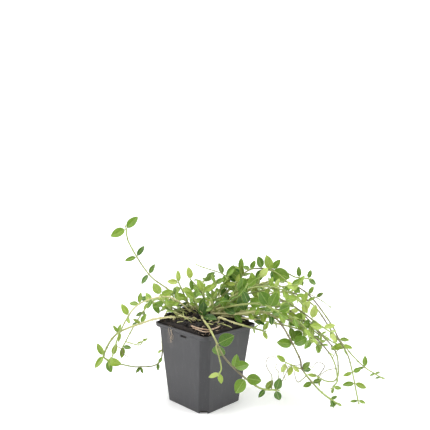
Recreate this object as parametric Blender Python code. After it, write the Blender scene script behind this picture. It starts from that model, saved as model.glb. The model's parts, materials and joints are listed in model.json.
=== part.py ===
"""Lesser periwinkle (Vinca minor) growing in a square nursery pot.

The pot stands on Z = 0 with the middle of its foot on the origin and one corner
towards -Y. The runners trail mostly towards +X. Shapes are worked out in
millimetres and written to the meshes in metres.
"""

import math
import random

import bmesh
import bpy
import numpy as np
from mathutils import Matrix, Vector
from mathutils.bvhtree import BVHTree
from mathutils.kdtree import KDTree

METRE = 0.001  # one millimetre, in the metres that Blender's meshes hold
GAP = 0.35  # air between two pieces that touch in the real plant

# The pot
RIM_SIDE = 90.0
POT_HEIGHT = 95.0
LIP_OVERHANG = 1.9  # how far the lip stands out past the body, on each side
SHOULDER_SIDE = RIM_SIDE - 2 * LIP_OVERHANG  # the body, just under the lip
FOOT_SIDE = 68.5
WALL = 1.0
LIP_WALL = 1.4
LIP_HEIGHT = 4.4
STEP_HEIGHT = 1.0  # slope between body and lip
BASE_THICKNESS = 1.2
CORNER_CUT = 8.5  # leg of the flat cut on each body corner
CORNER_EASE = 1.0
RIM_CORNER_RADIUS = 7.0
SLOT_SIZE = (10.0, 2.2)  # the label slot's width and height
SLOT_BELOW_RIM = 7.4
SLOT_TO_CORNER = 38.0  # from the front corner, along the wall
NOTCH_WIDTH = 8.5
NOTCH_HEIGHT = 3.2
NOTCH_DEPTH = 3.5
DRAIN_RADIUS = 4.0
DRAIN_OFFSET = 20.0

# The soil
SOIL_EDGE = -0.7  # height against the rim's top
MOUND_HEIGHT = 10.5
MOUND_CENTRE = (2.0, 8.0)
SOIL_CELLS = 14

# The plant
ROUTES_FIT_RIM = 90.0  # the routes below are drawn round a rim of this side
STEM_STEP = 2.0
STEM_ROOM = 1.1  # free space that a settled stem keeps round itself
SETTLE_ROUNDS = 90
RING_SPACING = 12.0
RING_BEND = 0.35  # furthest that a straight stretch of stem may leave its curve
NODE_HALF = 1.0  # half the stretch of stem that a pair of leaves grows from
LEAF_RATIO = 0.26  # half width over length, in a leaf of the usual length
USUAL_LEAF = 12.0
LEAF_BROADENING = 0.011  # what a millimetre of length adds to that ratio: big leaves are rounder
LEAF_THICKNESS = 0.55
LEAF_START = 0.1
LEAF_ROOM = 0.5  # free space that a blade keeps beyond its edges
LEAF_SECTIONS = (0.3, 0.64)
ROUND_UNDER = 50.0  # degrees; edges that turn more than this are shaded sharp

# name: (stem radius, foliage, root x and y, route as x, y and height above the rim,
#        leaf pairs as place along the stem, leaf length and, where the pair is turned
#        by its weight or the light, the two leaves' bearings in the X-Z plane)
RUNNERS = {
    "tall_left": (
        0.8, "mid", (-11, 8), [(-48, 2, 41), (-70, -2, 59), (-93, -4, 95), (-98, -2, 114)],
        [(0.14, 11), (0.27, 12), (0.56, 15, 60, 231), (0.74, 16, 60, 200), (1, 18, 207, 50)]),
    "left_straw": (
        1.1, "mid", (-38, -14),
        [(-60, -2, 4), (-73, 2, -1), (-108, 0, -16), (-123, -2, -41), (-118, -2, -49)],
        [(0.42, 12, 150, 30), (0.66, 12, 120, 50), (0.93, 16, 115, 235), (1, 16, 350, 285)]),
    "left_arch": (
        0.8, "dark", (-16, 16),
        [(-31, 18, 19), (-50, 18, 24), (-68, 18, 20), (-87, 18, -6), (-103, 14, -37)],
        [(0.17, 11), (0.29, 10), (0.45, 16, 165, 300), (0.6, 11), (0.72, 10), (1, 13, 20, 265)]),
    "left_loop": (
        0.8, "mid", (-19, -4),
        [(-35, -10, 29), (-52, -14, 34), (-82, -16, 23), (-101, -16, -8), (-111, -12, -40)],
        [(0.16, 12), (0.28, 12), (0.39, 12), (0.5, 14, 85, 200), (0.63, 14, 100, 250), (0.78, 12),
         (1, 13, 75, 250)]),
    "left_back_drop": (
        0.8, "dark", (-20, 30),
        [(-37, 36, 15), (-51, 44, 1), (-57, 46, -21), (-58, 40, -63), (-85, 28, -67), (-116, 18, -58)],
        [(0.12, 13), (0.55, 9), (0.65, 10, 265, 60), (0.79, 9, 290, 190), (1, 12)]),
    "front_runner": (
        0.9, "dark", (-3, -8),
        [(-2, -22, 9), (9, -60, 1), (23, -68, -22), (58, -62, -54), (81, -60, -59)],
        [(0.09, 19, 85, 335), (0.44, 21, 30, 255), (0.64, 16, 98, 12), (0.75, 17, 240, 330),
         (0.92, 12, 50, 200), (1, 14, 75, 290)]),
    "right_top": (
        0.9, "dark", (8, 14),
        [(38, 26, 44), (50, 30, 58), (66, 30, 63), (97, 26, 60), (113, 22, 54), (129, 18, 53)],
        [(0.26, 14), (0.41, 14, 95, 140), (0.5, 12, 65, 200), (0.6, 16, 110, 250),
         (0.68, 16, 50, 310), (0.92, 14, 95, 300), (1, 12, 75, 325)]),
    "right_crest": (
        0.8, "mid", (10, 4), [(45, -4, 41), (79, -10, 47), (108, -14, 37), (116, -14, 28)],
        [(0.37, 14), (0.51, 13), (0.64, 13, 70, 250), (0.78, 13), (0.9, 14), (1, 14, 70, 300)]),
    "right_long": (
        0.8, "dark", (13, 24),
        [(73, 42, 41), (101, 42, 45), (133, 34, 29), (161, 22, -7), (170, 16, -24), (194, 4, -50),
         (217, -4, -64)],
        [(0.14, 16), (0.26, 14), (0.37, 13), (0.45, 12), (0.52, 12, 40, 220), (0.76, 12, 130, 320),
         (0.92, 12, 88, 200), (0.97, 8, 170, 350), (1, 8, 150, 340)]),
    "right_fall": (
        0.8, "mid", (10, 10),
        [(38, 12, 22), (97, 12, 37), (132, 10, 23), (157, 6, -10), (176, -2, -38), (187, -14, -90)],
        [(0.12, 16), (0.25, 15), (0.35, 14), (0.44, 12), (0.66, 10), (0.74, 13, 200, 345),
         (0.87, 12, 200, 20), (0.92, 15, 180, 345), (1, 9, 215, 330)]),
    "right_drop_a": (
        0.8, "mid", (13, -2),
        [(68, -8, 15), (113, -14, 3), (149, -20, -30), (158, -24, -58), (153, -24, -69)],
        [(0.29, 14), (0.43, 15), (0.54, 14), (0.63, 11), (0.72, 9), (0.78, 8), (1, 11, 265, 300)]),
    "right_drop_b": (
        0.8, "light", (15, 6),
        [(48, 6, 17), (79, 4, 21), (106, 2, 14), (155, -4, -25), (163, -8, -53), (159, -10, -66),
         (148, -10, -67), (136, -12, -60)],
        [(0.16, 16), (0.29, 16), (0.42, 16), (0.52, 13), (0.62, 9), (0.7, 8), (1, 11, 170, 300)]),
    "right_low": (
        1.0, "dark", (10, -12),
        [(36, -18, 16), (62, -24, 21), (78, -28, 17), (91, -32, 4), (110, -34, -30), (115, -32, -46),
         (137, -28, -72), (159, -24, -89)],
        [(0.14, 14), (0.26, 16), (0.35, 13), (0.55, 19, 170, 25), (0.7, 12, 50, 330),
         (0.8, 11, 20, 200), (0.95, 9, 290, 30), (1, 8, 315, 200)]),
    "over_rim_1": (
        1.0, "mid", (16, -22), [(31, -26, 8), (69, -22, -3)],
        [(0.79, 8), (1, 12, 60, 300)]),
    "over_rim_2": (
        0.9, "mid", (15, -6), [(62, 2, 8), (104, 4, 3), (141, 0, -24)],
        [(0.36, 14), (0.51, 14), (0.67, 16), (0.79, 14), (0.91, 12), (1, 12)]),
    "over_rim_3": (
        0.9, "dark", (22, -16), [(68, -10, 6), (118, -12, -5), (135, -16, -21)],
        [(0.36, 13), (0.54, 14), (0.69, 14), (0.81, 18, 200, 20), (0.91, 13), (1, 10)]),
    "right_leafy_1": (
        1.0, "dark", (8, -6), [(24, -14, 23), (61, -28, 31), (85, -34, 23)],
        [(0.24, 15), (0.58, 17, 15, 110), (0.87, 20, 162, 66), (1, 14, 30, 330)]),
    "right_leafy_2": (
        0.9, "light", (10, 16),
        [(40, 14, 23), (69, 8, 30), (97, 0, 28), (140, -12, 1), (153, -12, -7)],
        [(0.24, 13), (0.4, 15), (0.58, 18), (0.73, 16, 55, 200), (0.82, 18, 75, 300),
         (0.92, 16, 10, 180), (1, 12)]),
    "right_leafy_3": (
        0.8, "mid", (16, 24),
        [(44, 30, 14), (76, 32, 22), (105, 30, 19), (123, 28, 7), (152, 18, -21), (175, 10, -32)],
        [(0.17, 14), (0.35, 15), (0.51, 16), (0.63, 15), (0.74, 13), (0.85, 13),
         (0.94, 15, 110, 335), (1, 10)]),
    "right_leafy_4": (
        0.9, "light", (18, 4), [(60, 0, 13), (90, 10, 15), (118, 6, 4), (140, -6, -12)],
        [(0.4, 14), (0.55, 16), (0.68, 16), (0.8, 15), (0.9, 13), (1, 12)]),
    "right_leafy_5": (
        0.9, "mid", (20, -10), [(56, -16, 16), (88, -22, 19), (114, -24, 6), (124, -26, -12)],
        [(0.3, 13), (0.45, 15), (0.6, 17), (0.74, 16), (0.88, 14), (1, 13)]),
    "crest_1": (
        0.9, "dark", (5, 2), [(34, 4, 47), (46, 4, 53)],
        [(0.42, 14), (0.77, 18, 200, 330), (1, 17, 190, 300)]),
    "crest_2": (
        0.6, "dark", (13, 12), [(27, 12, 52), (-10, 0, 70)],
        [(0.28, 14), (0.49, 17, 110, 30), (0.61, 15, 130, 340)]),
    "crest_3": (
        0.8, "dark", (13, -4), [(42, -18, 40), (48, -18, 50)],
        [(0.45, 13), (0.78, 19, 265, 60), (1, 15, 40, 200)]),
    "crest_4": (
        0.8, "light", (18, 8), [(59, 2, 46), (65, 0, 57)],
        [(0.46, 14), (0.8, 15, 290, 100), (1, 15, 50, 250)]),
    "crest_5": (
        0.8, "mid", (10, 20), [(38, 38, 46), (45, 40, 59)],
        [(0.41, 14), (0.76, 14), (1, 14, 90, 130)]),
    "crest_6": (
        0.8, "light", (13, 10), [(39, 2, 32), (83, -8, 46), (111, -12, 51)],
        [(0.55, 13), (0.74, 14), (0.88, 14), (1, 13, 60, 200)]),
    "crest_7": (
        0.8, "mid", (11, 18), [(65, 22, 52), (82, 20, 62), (107, 12, 45)],
        [(0.34, 15), (0.57, 15), (0.75, 22, 320, 110), (1, 13, 40, 300)]),
    "crest_8": (
        0.8, "mid", (6, 10), [(18, 6, 40), (26, 2, 56)],
        [(0.35, 12), (0.58, 14), (0.8, 15), (1, 14)]),
    "shoot_1": (
        0.8, "mid", (-3, -12), [(-9, -14, 21), (-13, -14, 33)],
        [(0.52, 16, 100, 60), (1, 14, 80, 150)]),
    "shoot_2": (
        0.9, "mid", (-33, -12), [(-48, -18, 27), (-54, -18, 38)],
        [(0.36, 10), (0.69, 13, 180, 30), (1, 15, 20, 120)]),
    "shoot_3": (
        0.8, "light", (-26, 2), [(-35, 0, 22), (-41, -2, 34)],
        [(0.55, 11), (1, 17, 190, 350)]),
    "shoot_4": (
        0.8, "light", (-18, 6), [(-24, 6, 26), (-34, 2, 49)],
        [(0.4, 10), (0.79, 14, 300, 200), (1, 14, 95, 170)]),
    "shoot_5": (
        0.7, "mid", (0, 8), [(-6, 10, 35), (-20, 8, 52)],
        [(0.54, 12), (1, 14, 100, 300)]),
    "shoot_6": (
        0.8, "light", (2, -2), [(-1, -4, 27), (-3, -6, 41)],
        [(0.56, 13, 200, 20), (1, 14, 120, 50)]),
    "shoot_7": (
        0.8, "mid", (8, 6), [(7, 2, 39), (11, 0, 49)],
        [(0.37, 13), (0.72, 13, 170, 40), (1, 13, 110, 30)]),
    "shoot_8": (
        1.1, "dark", (13, -12), [(9, -16, 23), (6, -18, 33)],
        [(0.59, 12), (1, 12, 120, 60)]),
    "shoot_9": (
        0.8, "mid", (22, 0), [(32, 0, 26), (37, -4, 50)],
        [(0.4, 13), (0.75, 16, 110, 300), (1, 13, 80, 160)]),
    "shoot_10": (
        0.8, "mid", (-24, -8), [(-40, -10, 20), (-58, -8, 30)],
        [(0.3, 11), (0.55, 13), (0.8, 14), (1, 13)]),
    "shoot_11": (
        0.8, "light", (-30, 4), [(-44, 2, 14), (-60, 0, 22), (-70, -2, 24)],
        [(0.3, 11), (0.5, 12), (0.75, 13), (1, 12)]),
    "shoot_12": (
        0.9, "dark", (16, -6), [(22, -12, 20), (28, -16, 32)],
        [(0.5, 15), (1, 16)]),
    "shoot_13": (
        0.8, "mid", (-8, -2), [(-14, -4, 26), (-16, -6, 36)],
        [(0.5, 13), (1, 14)]),
    "back_fall_1": (
        0.9, "mid", (4, 20),
        [(6, 42, 14), (8, 64, 16), (10, 84, 2), (10, 96, -24), (8, 102, -52), (2, 106, -78)],
        [(0.3, 16), (0.5, 17), (0.68, 16), (0.84, 14), (1, 12)]),
    "back_fall_2": (
        0.9, "dark", (-8, 22),
        [(-16, 44, 10), (-24, 64, 8), (-30, 80, -8), (-34, 88, -34), (-34, 92, -62)],
        [(0.3, 15), (0.55, 16), (0.78, 14), (1, 12)]),
    "back_fall_3": (
        0.9, "mid", (16, 22),
        [(24, 44, 20), (32, 66, 22), (38, 86, 6), (42, 98, -22), (40, 106, -54), (34, 110, -84)],
        [(0.25, 16), (0.42, 17), (0.6, 16), (0.8, 15), (1, 12)]),
    "back_right_1": (
        0.9, "dark", (24, 18), [(46, 42, 26), (70, 60, 32), (94, 72, 22), (112, 78, 2)],
        [(0.35, 16), (0.55, 17), (0.78, 16), (1, 14)]),
    "back_right_2": (
        0.9, "mid", (28, 12), [(56, 34, 34), (86, 50, 40), (112, 58, 28), (130, 60, 10)],
        [(0.35, 16), (0.58, 17), (0.8, 15), (1, 13)]),
    "back_crest_1": (
        0.8, "mid", (0, 22), [(-4, 38, 26), (-4, 50, 40), (0, 60, 44)],
        [(0.5, 16), (0.8, 16), (1, 14)]),
    "back_crest_2": (
        0.8, "dark", (12, 24), [(22, 44, 34), (35, 60, 46), (47, 70, 45)],
        [(0.5, 17), (0.73, 15), (1, 14)]),
}

# name: (stem radius, foliage, the runner it leaves, how far along that runner, route, leaf pairs)
SIDE_SHOOTS = {
    "left_side_shoot": (
        0.6, "light", "left_arch", 0.93, [(-81, 2, -30), (-76, 0, -24)], [(1, 8, 35, 200)]),
    "front_spur": (
        0.7, "light", "front_runner", 0.45, [(18, -74, -28), (16, -74, -36)], [(1, 12, 205, 280)]),
    "right_bare_tip": (
        0.5, "dark", "right_long", 0.52, [(149, 26, 23), (156, 22, 18)], [(0.33, 11, 35, 200)]),
    "right_low_spur": (
        0.7, "light", "right_low", 0.69, [(104, -36, -40), (93, -40, -34)],
        [(0.55, 11, 250, 300), (1, 12, 145, 290)]),
}

# name: (radius, route of a root or old stem that lies on the soil, as x and y)
SURFACE_ROOTS = {
    "surface_root_1": (0.9, [(-17, -35), (-9, -42), (1, -46), (10, -43), (17, -37)]),
    "surface_root_2": (0.7, [(-14, -40), (-7, -46), (1, -50), (8, -47)]),
    "surface_root_3": (0.9, [(-46, 2), (-34, -5), (-22, -12), (-10, -18)]),
    "surface_root_4": (0.6, [(-30, 14), (-24, 4), (-14, -2)]),
}

FOLIAGE_COLOURS = {
    "dark": (0.055, 0.14, 0.035),
    "mid": (0.13, 0.27, 0.06),
    "light": (0.3, 0.42, 0.1),
}


# ---------------------------------------------------------------- objects

def clear_scene():
    for thing in list(bpy.data.objects):
        bpy.data.objects.remove(thing)


def material(name, colour, roughness):
    found = bpy.data.materials.get(name)
    if found:
        return found
    made = bpy.data.materials.new(name)
    made.use_nodes = True
    shader = made.node_tree.nodes["Principled BSDF"]
    shader.inputs["Base Color"].default_value = (*colour, 1.0)
    shader.inputs["Roughness"].default_value = roughness
    shader.inputs["Metallic"].default_value = 0.0
    return made


def object_from(bm, name, look):
    """One object from a bmesh in millimetres."""
    bmesh.ops.scale(bm, vec=(METRE,) * 3, verts=bm.verts)
    mesh = bpy.data.meshes.new(name)
    bm.to_mesh(mesh)
    bm.free()
    mesh.materials.append(look)
    made = bpy.data.objects.new(name, mesh)
    bpy.context.scene.collection.objects.link(made)
    return made


# ---------------------------------------------------------------- pot

TURN = Matrix.Rotation(math.radians(45.0), 3, "Z")


def four_corners(one_corner):
    """The outline of a square from the points of its +X +Y corner, turned corner forward."""
    return [
        TURN @ Matrix.Rotation(math.radians(90.0 * quarter), 3, "Z") @ Vector((x, y, 0.0))
        for quarter in range(4)
        for x, y in one_corner
    ]


def cut_outline(side, cut):
    half = side / 2
    slant = CORNER_EASE / math.sqrt(2)
    return four_corners([
        (half, half - cut - CORNER_EASE),
        (half - slant, half - cut + slant),
        (half - cut + slant, half - slant),
        (half - cut - CORNER_EASE, half),
    ])


def round_outline(side, radius):
    centre = side / 2 - radius
    return four_corners([
        (centre + radius * math.cos(math.radians(a)), centre + radius * math.sin(math.radians(a)))
        for a in (0, 30, 60, 90)
    ])


def body_side(height):
    """Outer side of the tapered body at a height."""
    shoulder = POT_HEIGHT - LIP_HEIGHT - STEP_HEIGHT
    return FOOT_SIDE + (SHOULDER_SIDE - FOOT_SIDE) * height / shoulder


def pull_face(bm, face, outline, height):
    """Extrude a face and set the new one's corners; returns the new face."""
    made = bmesh.ops.extrude_discrete_faces(bm, faces=[face])["faces"][0]
    for corner, place in zip(made.verts, outline):
        corner.co = (place.x, place.y, height)
    return made


def pot_shell():
    bm = bmesh.new()
    outline = cut_outline(FOOT_SIDE, CORNER_CUT)
    face = bm.faces.new([bm.verts.new(place) for place in outline])
    under_lip = POT_HEIGHT - LIP_HEIGHT
    shoulder = under_lip - STEP_HEIGHT
    inner = 2 * WALL
    lip_inner = RIM_SIDE - 2 * LIP_WALL
    inner_step = under_lip + WALL
    rings = (
        (cut_outline(SHOULDER_SIDE, CORNER_CUT), shoulder),
        (round_outline(RIM_SIDE - 1.0, RIM_CORNER_RADIUS), under_lip),
        (round_outline(RIM_SIDE, RIM_CORNER_RADIUS), POT_HEIGHT),
        (round_outline(lip_inner, RIM_CORNER_RADIUS - LIP_WALL), POT_HEIGHT),
        (round_outline(lip_inner - 1.0, RIM_CORNER_RADIUS - LIP_WALL), inner_step + STEP_HEIGHT),
        (cut_outline(body_side(shoulder) - inner, CORNER_CUT - WALL / 2), inner_step - STEP_HEIGHT),
        (cut_outline(body_side(BASE_THICKNESS) - inner, CORNER_CUT - WALL / 2), BASE_THICKNESS),
    )
    for ring, height in rings:
        face = pull_face(bm, face, ring, height)
    close_start(bm)
    return bm


def box_into(bm, size, place):
    bmesh.ops.create_cube(bm, size=1.0, matrix=place @ Matrix.Diagonal((*size, 1.0)))


def pot_cutter():
    """Label slot, corner notches and drain holes, as separate closed shapes in one mesh."""
    bm = bmesh.new()
    turn = TURN.to_4x4()
    slot_width, slot_height = SLOT_SIZE
    along = RIM_SIDE / 2 - SLOT_TO_CORNER
    slot = Matrix.Translation((-RIM_SIDE / 2, -along, POT_HEIGHT - SLOT_BELOW_RIM))
    box_into(bm, (4 * LIP_HEIGHT, slot_width, slot_height), turn @ slot)
    foot_corner = FOOT_SIDE / math.sqrt(2) - CORNER_CUT / math.sqrt(2)
    for quarter in range(4):
        spin = Matrix.Rotation(math.radians(90.0 * quarter), 4, "Z")
        notch = Matrix.Translation((foot_corner, 0.0, 0.0))
        box_into(bm, (2 * NOTCH_DEPTH, NOTCH_WIDTH, 2 * NOTCH_HEIGHT), spin @ notch)
        hole = Matrix.Translation((DRAIN_OFFSET, 0.0, 0.0))
        bmesh.ops.create_cone(
            bm, cap_ends=True, segments=16, radius1=DRAIN_RADIUS, radius2=DRAIN_RADIUS,
            depth=4 * BASE_THICKNESS, matrix=turn @ spin @ hole)
    return bm


def make_pot():
    grey = material("pot_plastic", (0.105, 0.105, 0.112), 0.5)
    pot = object_from(pot_shell(), "pot", grey)
    cutter = object_from(pot_cutter(), "pot_cutter", grey)
    cutter.hide_render = True
    cutter.display_type = "WIRE"
    cut = pot.modifiers.new("slots_and_holes", "BOOLEAN")
    cut.operation = "DIFFERENCE"
    cut.object = cutter
    return pot


# ---------------------------------------------------------------- soil

def inner_side(height):
    return body_side(height) - 2 * WALL - 2 * GAP


def soil_height(x, y):
    """Height of the mounded soil, with its lumps."""
    reach = (abs(x + y) + abs(x - y)) / 2 / (RIM_SIDE / 2) / math.sqrt(2)
    off_centre = math.hypot(x - MOUND_CENTRE[0], y - MOUND_CENTRE[1]) / (RIM_SIDE / 2)
    rise = max(0.0, 1 - reach ** 2) * max(0.0, 1 - 0.35 * off_centre ** 2)
    lumps = 0.7 * math.sin(0.33 * x + 1.1) * math.cos(0.29 * y + 0.6)
    lumps += 0.5 * math.sin(0.61 * x - 0.47 * y) + 0.3 * math.cos(0.9 * y + 0.7 * x)
    return POT_HEIGHT + SOIL_EDGE + (MOUND_HEIGHT - SOIL_EDGE) * rise ** 0.8 + lumps * rise ** 0.5


def plug_place(unit, side):
    """A point of the square from -1 to 1, in the plug's cut-cornered outline of a given side."""
    half = side / 2
    x, y = unit.x * half, unit.y * half
    over = abs(x) + abs(y) - (side - CORNER_CUT)
    if over > 0:
        x -= math.copysign(over / 2, x)
        y -= math.copysign(over / 2, y)
    return TURN @ Vector((x, y, 0.0))


def soil_plug():
    """A gridded top, pulled down into a tapered plug."""
    bm = bmesh.new()
    bmesh.ops.create_grid(bm, x_segments=SOIL_CELLS, y_segments=SOIL_CELLS, size=1.0)
    pulled = bmesh.ops.extrude_face_region(bm, geom=list(bm.faces), use_keep_orig=True)["geom"]
    sunk = {piece for piece in pulled if isinstance(piece, bmesh.types.BMVert)}
    under = [piece for piece in pulled if isinstance(piece, bmesh.types.BMFace)]
    base = BASE_THICKNESS + GAP
    edge_side = inner_side(POT_HEIGHT + SOIL_EDGE)
    for corner in bm.verts:
        if corner in sunk:
            place = plug_place(corner.co, inner_side(base))
            corner.co = (place.x, place.y, base)
        else:
            place = plug_place(corner.co, edge_side)
            corner.co = (place.x, place.y, soil_height(place.x, place.y))
    bmesh.ops.dissolve_faces(bm, faces=under)
    bmesh.ops.recalc_face_normals(bm, faces=bm.faces)
    return bm


def tree_of(bm):
    return BVHTree.FromBMesh(bm)


# ---------------------------------------------------------------- stems

class Stem:
    """A stem's centre line, its radius, and the leaf pairs that it carries."""

    def __init__(self, name, radius, foliage, path, pairs):
        self.name = name
        self.radius = radius
        self.foliage = foliage
        self.path = path
        self.pairs = pairs
        self.leaves = []
        self.parent = None

    def measure(self):
        steps = np.linalg.norm(np.diff(self.path, axis=0), axis=1)
        self.along = np.concatenate([[0.0], np.cumsum(steps)])
        self.length = self.along[-1]

    def at(self, distance):
        return Vector([np.interp(distance, self.along, self.path[:, i]) for i in range(3)])

    def heading(self, distance):
        before = self.at(max(distance - STEM_STEP, 0.0))
        after = self.at(min(distance + STEM_STEP, self.length))
        return (after - before).normalized()


def smooth_path(points):
    """A Catmull-Rom curve through the points, read every STEM_STEP."""
    points = np.array(points, float)
    ends = np.vstack([2 * points[0] - points[1], points, 2 * points[-1] - points[-2]])
    dense = []
    for a, b, c, d in zip(ends, ends[1:], ends[2:], ends[3:]):
        t = np.linspace(0.0, 1.0, 24, endpoint=False)[:, None]
        curve = 2 * b + (c - a) * t + (2 * a - 5 * b + 4 * c - d) * t ** 2
        dense.append(0.5 * (curve + (3 * b - a - 3 * c + d) * t ** 3))
    dense = np.vstack([*dense, points[-1:]])
    along = np.concatenate([[0.0], np.cumsum(np.linalg.norm(np.diff(dense, axis=0), axis=1))])
    marks = np.linspace(0.0, along[-1], max(4, round(along[-1] / STEM_STEP)) + 1)
    return np.column_stack([np.interp(marks, along, dense[:, i]) for i in range(3)])


def ground_at(soil, x, y):
    """Height of the soil under a point, or None beyond its edge."""
    hit = soil.ray_cast(Vector((x, y, 3 * POT_HEIGHT)), Vector((0.0, 0.0, -1.0)))[0]
    return None if hit is None else hit.z


def past_rim(x, y):
    """Distance outside the rim's outline, negative inside, and the way out."""
    across = (x + y) / math.sqrt(2)
    along = (y - x) / math.sqrt(2)
    half = RIM_SIDE / 2
    if abs(across) > abs(along):
        way = math.copysign(1 / math.sqrt(2), across)
        return abs(across) - half, Vector((way, way, 0.0))
    way = math.copysign(1 / math.sqrt(2), along)
    return abs(along) - half, Vector((-way, way, 0.0))


def start_stems(soil):
    """Every stem on its drawn route, before the stems settle against each other."""
    scale = RIM_SIDE / ROUTES_FIT_RIM
    stems = {}
    for name, (radius, foliage, root, route, pairs) in RUNNERS.items():
        x, y = root[0] * scale, root[1] * scale
        ground = ground_at(soil, x, y)
        points = [(x, y, ground + GAP + radius / 2), (x * 1.02, y * 1.02, ground + 5.0)]
        points += [(px * scale, py * scale, POT_HEIGHT + pz) for px, py, pz in route]
        stems[name] = Stem(name, radius, foliage, smooth_path(points), pairs)
    for name, (radius, foliage, parent, place, route, pairs) in SIDE_SHOOTS.items():
        carrier = stems[parent]
        step = round(place * (len(carrier.path) - 1))
        joint = Vector(carrier.path[step])
        heading = (Vector(carrier.path[step + 1]) - joint).normalized()
        first = Vector((route[0][0] * scale, route[0][1] * scale, POT_HEIGHT + route[0][2])) - joint
        away = (first - heading * first.dot(heading)).normalized()
        away *= carrier.radius + radius + GAP
        points = [joint + away]
        points += [(px * scale, py * scale, POT_HEIGHT + pz) for px, py, pz in route]
        stems[name] = Stem(name, radius, foliage, smooth_path(points), pairs)
        stems[name].parent = (parent, step, away)
    return stems


def push_from_pot(point, radius, soil, distance):
    """The shift that brings one point of a stem clear of the pot, the soil and the ground."""
    shift = Vector((0.0, 0.0, 0.0))
    x, y, z = point
    keep = radius + GAP
    shift.z = max(0.0, keep - z)
    outside, way = past_rim(x, y)
    if outside > keep:
        return shift
    ground = ground_at(soil, x, y)
    lip = outside > -(2 * WALL + LIP_WALL + keep)
    if lip or ground is None:
        top = max(POT_HEIGHT, ground or 0.0) + keep
        up, out = top - z, keep - outside
        if up <= 0:
            return shift
        return shift + (way * out if out < up else Vector((0.0, 0.0, up)))
    rise = min(keep, GAP + radius / 2 + distance)
    shift.z = max(shift.z, ground + rise - z)
    return shift


def settle(stems, soil):
    """Part the stems from each other, the pot, the soil and the ground, keeping their curves smooth."""
    names = list(stems)
    owner = np.concatenate([np.full(len(stems[n].path), i) for i, n in enumerate(names)])
    order = np.concatenate([np.arange(len(stems[n].path)) for n in names])
    radius = np.concatenate([np.full(len(stems[n].path), stems[n].radius) for n in names])
    drawn = np.vstack([stems[n].path for n in names])
    moved = np.zeros_like(drawn)
    starts = dict(zip(names, np.searchsorted(owner, np.arange(len(names)))))
    parents = {
        names.index(n): names.index(stems[n].parent[0]) for n in names if stems[n].parent
    }
    reach = 2 * radius.max() + STEM_ROOM
    for turn in range(SETTLE_ROUNDS):
        now = drawn + moved
        tree = KDTree(len(now))
        for i, place in enumerate(now):
            tree.insert(place, i)
        tree.balance()
        push = np.zeros_like(now)
        for i, place in enumerate(now):
            for other, j, apart in tree.find_range(place, reach):
                if j <= i:
                    continue
                if owner[i] == owner[j] and abs(order[i] - order[j]) < 8:
                    continue
                if parents.get(owner[i]) == owner[j] and order[i] == 0:
                    continue
                if parents.get(owner[j]) == owner[i] and order[j] == 0:
                    continue
                need = radius[i] + radius[j] + STEM_ROOM - apart
                if need <= 0:
                    continue
                way = np.array(place - np.array(other))
                way = way / max(np.linalg.norm(way), 1e-6)
                push[i] += way * need * 0.35
                push[j] -= way * need * 0.35
        for i, place in enumerate(now):
            if order[i] > 0:
                push[i] += push_from_pot(place, radius[i], soil, order[i] * STEM_STEP)
            elif owner[i] in parents:
                parent, step, away = stems[names[owner[i]]].parent
                push[i] = now[starts[parent] + step] + away - place
            else:
                ground = ground_at(soil, place[0], place[1])
                push[i][2] = ground + GAP + radius[i] / 2 - place[2]
        moved += push
        if turn < SETTLE_ROUNDS - 4:
            inner = (order[1:-1] > 0) & (owner[2:] == owner[1:-1])
            even = (moved[:-2] + 2 * moved[1:-1] + moved[2:]) / 4
            moved[1:-1][inner] = even[inner]
    for i, name in enumerate(names):
        stems[name].path = (drawn + moved)[owner == i]
        stems[name].measure()


# ---------------------------------------------------------------- leaves

class Leaf:
    """A blade: where its stalk starts, which way it points, the side its upper face looks to."""

    def __init__(self, base, axis, face, length, droop, fold):
        self.base = base
        self.axis = axis.normalized()
        self.face = (face - self.axis * face.dot(self.axis)).normalized()
        self.side = self.face.cross(self.axis)
        self.length = length
        self.widest = length * (LEAF_RATIO + LEAF_BROADENING * (length - USUAL_LEAF))
        self.droop = droop
        self.fold = fold

    def half_width(self, t):
        s = min(max(0.0, (t - LEAF_START) / (1 - LEAF_START)), 1.0)
        return max(0.45, self.widest * (4 * s * (1 - s)) ** 0.7)

    def point(self, t, across, lift=0.0, spare=0.0):
        """A point of the blade: t from stalk to tip, across from -1 to 1."""
        middle = self.base + self.axis * (self.length * t)
        middle -= self.face * (self.droop * self.length * t * t)
        width = self.half_width(t) + spare
        rise = self.fold * width * abs(across) ** 1.3 + lift
        return middle + self.side * (across * width) + self.face * rise

    def ring(self, t, thickness, spare=0.0):
        """Four corners of a cross-section, in turn as seen from the tip."""
        return [
            self.point(t, 1.0, 0.0, spare),
            self.point(t, 0.0, thickness / 2),
            self.point(t, -1.0, 0.0, spare),
            self.point(t, 0.0, -thickness / 2),
        ]


def tree_of_rings(rings, tip=None):
    """A BVH of the skin through four-cornered rings, closed to a point where there is a tip."""
    points = [corner for ring in rings for corner in ring]
    faces = []
    for i in range(len(rings) - 1):
        for k in range(4):
            m = (k + 1) % 4
            faces.append((4 * i + k, 4 * i + m, 4 * i + 4 + m, 4 * i + 4 + k))
    if tip is not None:
        points.append(tip)
        last = 4 * (len(rings) - 1)
        faces += [(last + k, last + (k + 1) % 4, len(points) - 1) for k in range(4)]
    return BVHTree.FromPolygons(points, faces)


def leaf_tree(leaf, start, thickness, spare):
    marks = (start, *LEAF_SECTIONS, 0.86)
    rings = [leaf.ring(t, thickness, spare) for t in marks]
    return tree_of_rings(rings, leaf.point(1.0 + spare / leaf.length, 0.0))


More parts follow.
